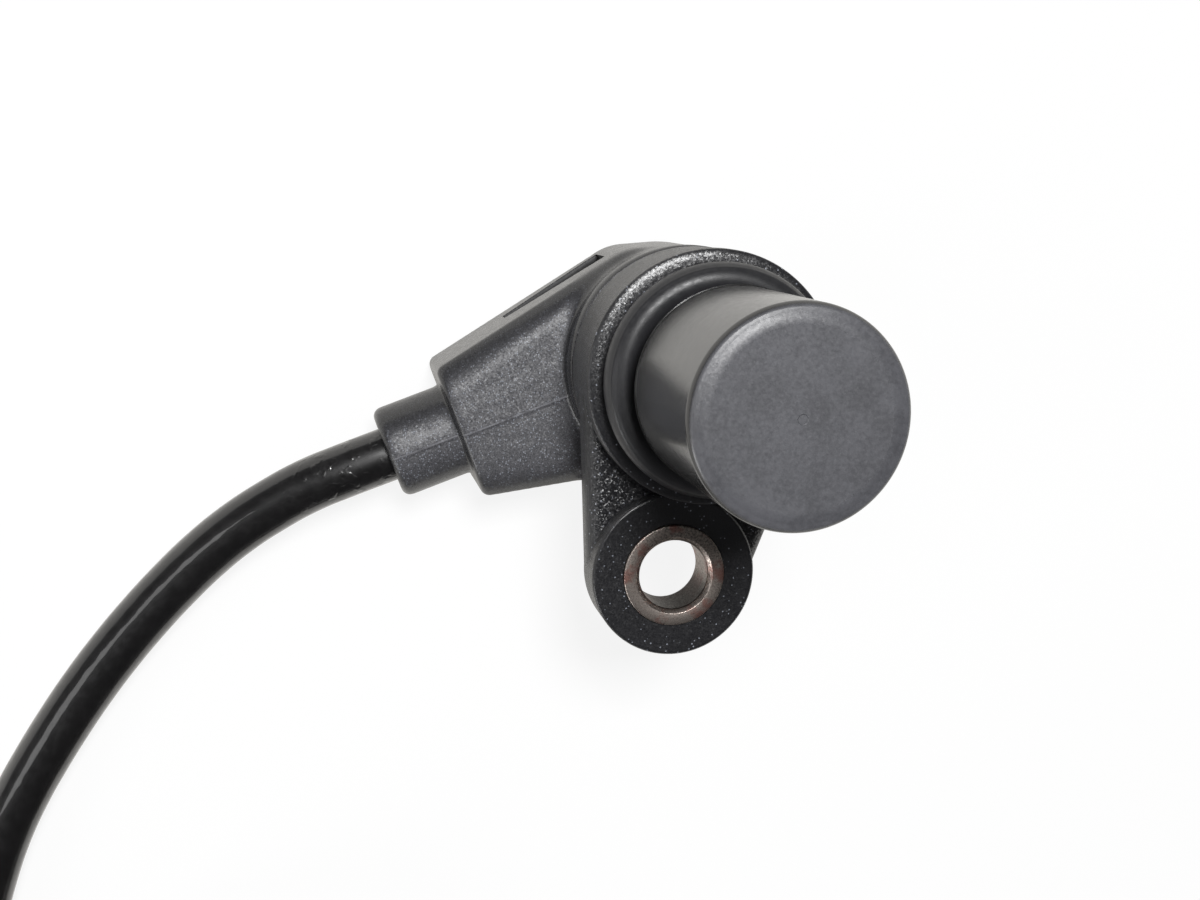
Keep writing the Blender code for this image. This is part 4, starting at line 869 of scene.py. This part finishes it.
def addOvermould(values):
    v = values
    circles = [[mm * size for size in circle] for circle in bodyCircles(v)]
    body = hullPiece("rearOvermould", circles, 0.0, v["cheekHeight"] * mm)
    roundRim(body, 0.0, v["bodyEdge"] * mm, 5)
    roundRim(body, v["cheekHeight"] * mm, v["cheekEdge"] * mm, 4)
    drum = drumPiece("roundBody", v["bodyRadius"] * mm, v["bodyEdge"] * mm, v["bodyHeight"] * mm)
    roundRim(drum, v["bodyHeight"] * mm, v["topEdge"] * mm, 4)
    neck, collar = addNeck(v), addCollar(v)
    pickOnly(body)
    for other in (drum, neck, collar):
        other.select_set(True)
    bpy.ops.object.join()
    applyModifier(body, "REMESH", mode="VOXEL", voxel_size=v["voxel"] * mm, adaptivity=0.0)
    softenRoot(body, v)
    addMouldLine(body, v)

    radius, height, edge = v["bandRadius"], v["bodyHeight"], v["bandEdge"]
    band = [(radius - 1.5, height - v["bandHeight"]), (radius, height - v["bandHeight"])]
    band += [(radius, height - 1.2 * edge), (radius - edge, height), (radius - 1.5, height)]
    band = turnPiece("topBand", [(r * mm, z * mm) for r, z in band], 192, closed=True)
    combine(body, band, "UNION")
    top, floor = v["spigotTop"], v["floor"]
    spigot = [(v["cavityRadius"] - 1, floor + 1), (v["spigotRadius"], floor + 1), (v["spigotRadius"], top)]
    spigot += [(v["cavityRadius"] - 1, top)]
    spigot = turnPiece("spigot", [(r * mm, z * mm) for r, z in spigot], 96, closed=True)
    combine(body, spigot, "UNION")
    cavity = drumPiece("bodyCavity", v["cavityRadius"] * mm, floor * mm, (top + 1) * mm, vertices=96)
    combine(body, cavity, "DIFFERENCE")
    bore = drumPiece("cableBore", v["cableBore"] * mm, 0.0, (v["collarEnd"] + 1) * mm, vertices=64)
    placePiece(bore, (0, math.pi / 2, 0), Vector((0, neckShift, v["axisHeight"])) * mm)
    combine(body, bore, "DIFFERENCE")
    half, point, length = v["slotWidth"] / 2, v["slotPoint"] / 2, v["slotLength"]
    outline = [(0, -half), (length, -point), (length, point), (0, half)]
    slot = drawPlate("neckSlot", outline, -v["slotDepth"], 1.0)
    placePiece(slot, (math.pi / 2, 0, 0))
    applyModifier(slot, "BEVEL", width=v["slotEdge"] * mm, segments=3)
    wall = neckShift - v["halfWidth"] - (v["neckEnd"] - v["slotStart"]) * math.tan(v["taper"])
    start = Vector((v["slotStart"], wall, v["slotHeight"]))
    placePiece(slot, (0, 0, v["taper"]), start * mm)
    combine(body, slot, "DIFFERENCE")
    # marks the slot's floor, which the material paints dark as shade
    mark = body.data.attributes.new("shadedRecess", "FLOAT", "POINT")
    unturn = Matrix.Rotation(-v["taper"], 3, "Z")
    for corner in body.data.vertices:
        spot = unturn @ (corner.co / mm - start)
        deep = 0.5 < spot.y / v["slotDepth"] < 1.1
        if deep and abs(spot.z) < half + 0.05 and -0.05 < spot.x < length + 0.05:
            mark.data[corner.index].value = 1.0
    placePiece(body, (0, 0, neckTurn))
    pickOnly(body)
    bpy.ops.object.shade_smooth_by_angle(angle=math.radians(40))
    finishPiece(body, overmouldPlastic, "overmould_plastic", "rear_overmould")
    print("rear overmould made")


addOvermould(overmouldSet)


# plug on the lead's far end, modelled along +X from the boot's mouth
plugSet = {
    "place": (11.0, -130.6, 7.05),
    "width": 19.0, "height": 14.0, "corner": 2.2, "edge": 0.45, "start": 14.3, "end": 43.3,
    "wall": 1.6, "socket": 13.5, "lip": 0.35, "rearWall": 2.0, "partition": 2.0,
    "panel": (18.5, 6.6, 35.5), "panelDepth": 0.25, "panelEdge": 0.2,
    "rampWidth": 6.0, "rampStart": 31.3, "rampEnd": 38.3, "rampHeight": 1.6, "rampFlat": 1.4, "rampEdge": 0.3,
    "ribWidth": 1.4, "ribHeight": 1.0, "ribStart": 16.3, "ribEnd": 36.3, "ribEdge": 0.25,
    "gripCount": 5, "gripStart": 16.6, "gripPitch": 1.5, "gripWidth": 0.7, "gripDepth": 0.3,
    "keyWidth": 1.2, "keyHeight": 0.9,
    "contactPitch": 4.6, "windowHalf": (1.05, 0.62),
    "capStart": 9.5, "capEnd": 14.0, "capSetback": 0.8, "capEdge": 0.6, "capHole": 5.5,
    "capGroove": (2.4, 0.45, 0.25),  # place, width, depth
    "bootBore": 3.0, "bootRear": 3.9, "bootFront": 5.2, "bootRibs": 3, "bootRibDepth": 0.62, "bootLip": 0.3,
}


# block whose long edges along X are rounded, with softened rims at both ends
def plugBlock(name, values, low, high, setback, edge):
    v = values
    wide, tall = v["width"] / 2 - setback, v["height"] / 2 - setback
    block = blockPiece(name, [mm * c for c in (low, -wide, -tall)], [mm * c for c in (high, wide, tall)])
    bpy.ops.object.mode_set(mode="EDIT")

    def runsAlong(middle, line):
        return abs(line.verts[0].co.x - line.verts[1].co.x) > 0.5 * mm * (high - low)

    choose(block, runsAlong, "EDGE")
    bpy.ops.mesh.bevel(offset=(v["corner"] - setback) * mm, segments=8, affect="EDGES")
    if edge:
        choose(block, lambda middle, line: abs(line.verts[0].co.x - line.verts[1].co.x) < 0.01 * mm, "EDGE")
        bpy.ops.mesh.bevel(offset=edge * mm, segments=4, affect="EDGES")
    bpy.ops.object.mode_set(mode="OBJECT")
    return block


def endFace(along):  # test for the faces of a cross-section at this place
    return lambda middle, side: abs(middle.x - along * mm) < 0.01 * mm and abs(side.normal.x) > 0.99


def sinkFace(piece, along, wall, depth, lip=0.0):  # insets the end face and pushes it in
    pickOnly(piece)
    bpy.ops.object.mode_set(mode="EDIT")
    choose(piece, endFace(along), "FACE")
    bpy.ops.mesh.inset(thickness=(wall - lip) * mm, depth=0.0)
    inward = -math.copysign(1.0, depth)
    if lip:
        bpy.ops.mesh.inset(thickness=lip * mm, depth=0.0)
        bpy.ops.transform.translate(value=(inward * lip * mm, 0, 0))
    bpy.ops.mesh.extrude_region_move(TRANSFORM_OT_translate={"value": (inward * (abs(depth) - lip) * mm, 0, 0)})
    bpy.ops.object.mode_set(mode="OBJECT")


def addPlugHousing(values):
    v = values
    body = plugBlock("plugHousing", v, v["start"], v["end"], 0.0, v["edge"])
    sinkFace(body, v["end"], v["wall"] - v["edge"], v["socket"], v["lip"])
    chamber = v["end"] - v["socket"] - v["partition"] - v["start"]
    sinkFace(body, v["start"], v["rearWall"] - v["edge"], -chamber)

    start, wide, end = v["panel"]
    bottom = -v["height"] / 2
    low, high = (start, -wide, bottom - 0.5), (end, wide, bottom + v["panelDepth"])
    panel = blockPiece("sunkPanel", [mm * c for c in low], [mm * c for c in high])
    applyModifier(panel, "BEVEL", width=v["panelEdge"] * mm, segments=3)
    combine(body, panel, "DIFFERENCE")
    for side in (-1, 1):  # grip grooves on both sides
        wall = side * v["width"] / 2
        for i in range(v["gripCount"]):
            for half in (-1, 1):
                along = v["gripStart"] + i * v["gripPitch"]
                inner, outer = sorted((wall - side * v["gripDepth"], wall + side))
                base, reach = (1.3, 4.4) if half > 0 else (-4.4, -1.3)
                groove = blockPiece(
                    "gripGroove", (along * mm, inner * mm, base * mm),
                    ((along + v["gripWidth"]) * mm, outer * mm, reach * mm))
                applyModifier(groove, "BEVEL", width=0.14 * mm, segments=2)
                combine(body, groove, "DIFFERENCE")

    base = v["height"] / 2 - 0.6
    low = (v["rampStart"], -v["rampWidth"] / 2, base)
    high = (v["rampEnd"], v["rampWidth"] / 2, v["height"] / 2 + v["rampHeight"])
    ramp = blockPiece("latchRamp", [mm * c for c in low], [mm * c for c in high])
    bpy.ops.object.mode_set(mode="EDIT")
    bpy.ops.mesh.select_all(action="SELECT")
    bpy.ops.mesh.bisect(plane_co=((v["rampStart"] + v["rampFlat"]) * mm, 0, 0), plane_no=(1, 0, 0))

    def atNose(place, corner):
        return place.x > (v["rampEnd"] - 0.1) * mm and place.z > (base + 0.5) * mm

    choose(ramp, atNose, "VERT")
    bpy.ops.transform.translate(value=(0, 0, -0.95 * v["rampHeight"] * mm))
    bpy.ops.object.mode_set(mode="OBJECT")
    applyModifier(ramp, "BEVEL", width=v["rampEdge"] * mm, segments=3, limit_method="ANGLE")
    combine(body, ramp, "UNION")
    for side in (-1, 1):
        inner, outer = sorted((side * (v["width"] / 2 - 0.5), side * (v["width"] / 2 + v["ribHeight"])))
        half = v["ribWidth"] / 2
        rib = blockPiece("guideRib", (v["ribStart"] * mm, inner * mm, -half * mm),
                         (v["ribEnd"] * mm, outer * mm, half * mm))
        applyModifier(rib, "BEVEL", width=v["ribEdge"] * mm, segments=3)
        combine(body, rib, "UNION")
        inside = side * (v["width"] / 2 - v["wall"])
        inner, outer = sorted((inside - side * v["keyHeight"], inside + side * 0.4))
        keyLow = (v["end"] - v["socket"] + 4.0, inner, -v["height"] / 2 + v["wall"] + 1.5)
        keyHigh = (v["end"] - 1.2, outer, keyLow[2] + v["keyWidth"])
        key = blockPiece("socketKey", [mm * c for c in keyLow], [mm * c for c in keyHigh])
        applyModifier(key, "BEVEL", width=0.2 * mm, segments=2)
        combine(body, key, "UNION")
    wide, tall = v["windowHalf"]
    wallStart = v["end"] - v["socket"] - v["partition"]
    for i in (-1, 0, 1):
        middle = i * v["contactPitch"]
        window = blockPiece("contactWindow", [mm * c for c in (wallStart - 1, middle - wide, -tall)],
                            [mm * c for c in (wallStart + v["partition"] + 1, middle + wide, tall)])
        combine(body, window, "DIFFERENCE")
    placePiece(body, shift=Vector(v["place"]) * mm)
    settleNormals(body)
    shadePiece(body, 32)
    finishPiece(body, plugPlastic, "plug_plastic", "plug_housing")
    return body


def addPlugCap(values):
    v = values
    cap = plugBlock("plugCap", v, v["capStart"], v["capEnd"], v["capSetback"], v["capEdge"])
    hole = drumPiece("capHole", v["capHole"] * mm, 0.0, (v["capEnd"] + 2) * mm, vertices=96)
    placePiece(hole, (0, math.pi / 2, 0))
    combine(cap, hole, "DIFFERENCE")
    place, width, depth = v["capGroove"]  # shallow groove all round, by setting a band of the wall back
    along = v["capStart"] + place
    band = plugBlock("capBand", v, along, along + width, v["capSetback"] - 0.6, 0.0)
    core = plugBlock("capCore", v, along - 1, along + width + 1, v["capSetback"] + depth, 0.0)
    combine(band, core, "DIFFERENCE")
    combine(cap, band, "DIFFERENCE")
    placePiece(cap, shift=Vector(v["place"]) * mm)
    settleNormals(cap)
    shadePiece(cap, 32)
    finishPiece(cap, plugPlastic, "plug_plastic", "plug_cap")
    return cap


def addPlugBoot(values):  # spun round the cable, with rounded ribs and a soft lip
    v = values
    bore, rear, front, ribs = v["bootBore"], v["bootRear"], v["bootFront"], v["bootRibs"]
    outline = [(bore, v["bootLip"]), (bore + v["bootLip"], 0.0), (rear - v["bootLip"], 0.0)]
    outline += arcOf((rear - v["bootLip"], v["bootLip"]), v["bootLip"], -90, 0, 4)[1:]
    span = v["capStart"] / (ribs + 1)
    for i in range(1, ribs + 1):
        along = span * i
        wall = rear + (front - rear) * i / (ribs + 1)
        valley = wall - v["bootRibDepth"]
        outline += arcOf((wall - 0.3, along - 1.3), 0.3, 0, 90, 4)
        outline += arcOf((valley + 0.3, along - 0.7), 0.3, 270, 180, 4)[:4]
        outline += [(valley, along - 0.1), (valley + 0.12, along + 0.1)]
        outline += arcOf((wall - 0.2, along + 0.45), 0.25, 270, 360, 4)
    outline += arcOf((front - 0.3, v["capStart"] + 0.1), 0.3, 290, 360, 3)
    outline += [(front, v["capEnd"] - 0.3), (front - 0.3, v["capEnd"]), (bore, v["capEnd"])]
    boot = turnPiece("plugBoot", [(r * mm, z * mm) for r, z in outline], 96, closed=True)
    placePiece(boot, (0, math.pi / 2, 0), Vector(v["place"]) * mm)
    shadePiece(boot, 35)
    finishPiece(boot, bootRubber, "seal_rubber", "plug_boot")
    return boot


plugPieces = [addPlugHousing(plugSet), addPlugCap(plugSet), addPlugBoot(plugSet)]
print("plug made")


# tie round the coil, modelled with the coil's section in the XY plane
tieSet = {
    "cords": [(30.8, 4.05), (25.2, 3.94), (29.61, 9.67)],  # distance from the coil's middle, height
    "cordRadius": 2.75, "slack": 0.08, "thickness": 0.75, "width": 3.6, "edge": 0.18,
    "headLow": (33.3, 4.7, -2.2), "headHigh": (37.3, 9.1, 2.2), "headEdge": 0.45,
    "mouth": 0.5, "mouthDepth": 0.5,
    "tailStart": (34.95, 8.0), "tailThickness": 0.75, "tailTop": 13.6, "teeth": 9, "toothDepth": 0.22,
}


def addTie(values, lead):
    v = values
    inner = v["cordRadius"] + v["slack"]
    outer, half = inner + v["thickness"], v["width"] / 2
    strap = hullPiece("coilTie", [(x * mm, y * mm, outer * mm) for x, y in v["cords"]], -half * mm, half * mm)
    roundRim(strap, half * mm, v["edge"] * mm, 3)
    roundRim(strap, -half * mm, v["edge"] * mm, 3)
    window = hullPiece(
        "tieWindow", [(x * mm, y * mm, inner * mm) for x, y in v["cords"]], -2 * half * mm, 2 * half * mm)
    combine(strap, window, "DIFFERENCE")

    head = blockPiece("tieHead", [mm * c for c in v["headLow"]], [mm * c for c in v["headHigh"]])
    bpy.ops.object.mode_set(mode="EDIT")
    choose(head, lambda middle, line: True, "EDGE")
    bpy.ops.mesh.bevel(offset=v["headEdge"] * mm, segments=4, affect="EDGES")
    choose(head, lambda middle, side: middle.y > (v["headHigh"][1] - 0.01) * mm and side.normal.y > 0.99)
    bpy.ops.mesh.inset(thickness=v["mouth"] * mm, depth=0.0)
    bpy.ops.mesh.extrude_region_move(TRANSFORM_OT_translate={"value": (0, -v["mouthDepth"] * mm, 0)})
    bpy.ops.object.mode_set(mode="OBJECT")
    combine(strap, head, "UNION")

    (x, y), step = v["tailStart"], (v["tailTop"] - v["tailStart"][1] - 0.9) / v["teeth"]
    outline = [(x, y), (x, v["tailTop"] - 0.25), (x + 0.25, v["tailTop"]), (x + 0.55, v["tailTop"])]
    for i in range(v["teeth"], 0, -1):  # sawtooth down the outer face
        top = y + i * step
        outline += [(x + v["tailThickness"], top), (x + v["tailThickness"] - v["toothDepth"], top - 0.7 * step)]
    outline += [(x + v["tailThickness"], y)]
    tail = drawPlate("tieTail", outline, -half + 0.15, half - 0.15)
    applyModifier(tail, "BEVEL", width=0.05 * mm, segments=2, limit_method="ANGLE")
    combine(strap, tail, "UNION")
    x, y = lead["coilMiddle"]
    placePiece(strap, (math.pi / 2, 0, 0))
    placePiece(strap, (0, 0, math.radians(lead["tieAngle"])), (x * mm, y * mm, 0.0))
    settleNormals(strap)
    shadePiece(strap, 30)
    finishPiece(strap, tieNylon, "tie_nylon", "coil_tie")
    print("tie made")
    return strap


tiePiece = addTie(tieSet, leadSet)


# finishes of the CAD's own pieces that stay as they are
nodeFinishes = {
    "contact_carrier": carrierPlastic, "contact_1": tinnedBrass, "contact_2": tinnedBrass,
    "contact_3": tinnedBrass, "terminal_left": tinnedBrass, "terminal_right": tinnedBrass,
    "crimp_left": tinnedBrass, "crimp_right": tinnedBrass, "plug_wire_1": brownCore, "plug_wire_2": whiteCore,
    "plug_wire_3": whiteCore, "core_wire_left": brownCore, "core_wire_right": whiteCore,
    "coil_bobbin": bobbinPlastic, "coil_winding": copperWire, "pole_pin": softIron, "magnet": magnetAlloy,
}
for name, finish in nodeFinishes.items():
    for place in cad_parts[name].material_slots:
        place.material = finish
print("CAD pieces finished")


# light, floor and background
lightSet = {
    "target": (0.0, -0.005, 0.025),
    "key": {"toward": (-0.088, 0.385, 0.919), "distance": 0.6, "size": 0.16, "power": 3.3},
    "side": {"toward": (-0.754, -0.133, 0.643), "distance": 0.6, "size": 0.2, "power": 0.3},
    "low": {"toward": (-0.683, -0.683, 0.259), "distance": 0.6, "size": 0.2, "power": 0.7},
    "floorSize": 9.0,
    "zenith": 0.05,
    "horizon": 0.9,
    "skyline": (0.01, 0.10),  # between these heights the world goes from pale to dark
    "paper": (1.0, 0.965, 0.90, 1.0),  # the floor's colour in reflections
}


def addLamp(name, target, toward, distance, size, power):
    deselectAll()
    place = Vector(target) + Vector(toward).normalized() * distance
    bpy.ops.object.light_add(type="AREA", location=place)
    lamp = nameIt(name)
    lamp.rotation_euler = Vector(toward).to_track_quat("Z", "Y").to_euler()
    lamp.data.shape = "SQUARE"
    lamp.data.size = size
    lamp.data.energy = power


def floorMaterial():  # white to the camera and in reflections, with the object's shadow kept
    material = bpy.data.materials.new("floorPaper")
    material.use_nodes = True
    tree = material.node_tree
    tree.nodes.clear()
    path = addNode(tree, "LightPath").outputs
    mirrored = reckon(tree, "MAXIMUM", path["Is Glossy Ray"], path["Is Transmission Ray"])
    matt = addNode(tree, "BsdfDiffuse", {"Color": (0.80, 0.80, 0.80, 1.0)})
    tint = mixColours(tree, path["Is Camera Ray"], lightSet["paper"][:3], (1.0, 1.0, 1.0))
    glow = addNode(tree, "Emission", {"Color": tint, "Strength": 1.06})
    share = reckon(tree, "MAXIMUM", reckon(tree, "MULTIPLY", path["Is Camera Ray"], 0.82),
                   reckon(tree, "MULTIPLY", mirrored, 0.5))
    mix = addNode(tree, "MixShader", {0: share, 1: matt.outputs[0], 2: glow.outputs[0]})
    output = addNode(tree, "OutputMaterial")
    tree.links.new(mix.outputs[0], output.inputs["Surface"])
    return material


def addStage(values):
    deselectAll()
    bpy.ops.mesh.primitive_plane_add(size=values["floorSize"], location=(0, 0, 0))
    floor = nameIt("paperFloor")
    floor.data.materials.append(floorMaterial())
    for name in ("key", "side", "low"):
        addLamp(name + "Lamp", values["target"], **values[name])
    world = bpy.data.worlds.new("studioWorld")
    bpy.context.scene.world = world
    world.use_nodes = True
    tree = world.node_tree
    direction = addNode(tree, "TexCoord").outputs["Generated"]
    height = addNode(tree, "SeparateXYZ", {"Vector": direction}).outputs["Z"]
    low, high = values["skyline"]
    strength = between(tree, height, low, high, values["horizon"], values["zenith"])
    path = addNode(tree, "LightPath").outputs
    mirrored = reckon(tree, "MAXIMUM", path["Is Glossy Ray"], path["Is Transmission Ray"])
    mirrored = reckon(tree, "MULTIPLY", mirrored, between(tree, height, low, high, 1.0, 0.0))
    seen = reckon(tree, "MAXIMUM", path["Is Camera Ray"], mirrored)  # the backdrop is white to the eye
    strength = reckon(tree, "MAXIMUM", strength, seen)
    tree.links.new(strength, tree.nodes["Background"].inputs["Strength"])
    tree.nodes["Background"].inputs["Color"].default_value = (1.0, 1.0, 1.0, 1.0)


addStage(lightSet)
bpy.context.scene.view_settings.view_transform = "Standard"
print("stage set")

addLead(leadSet, cableJacket)
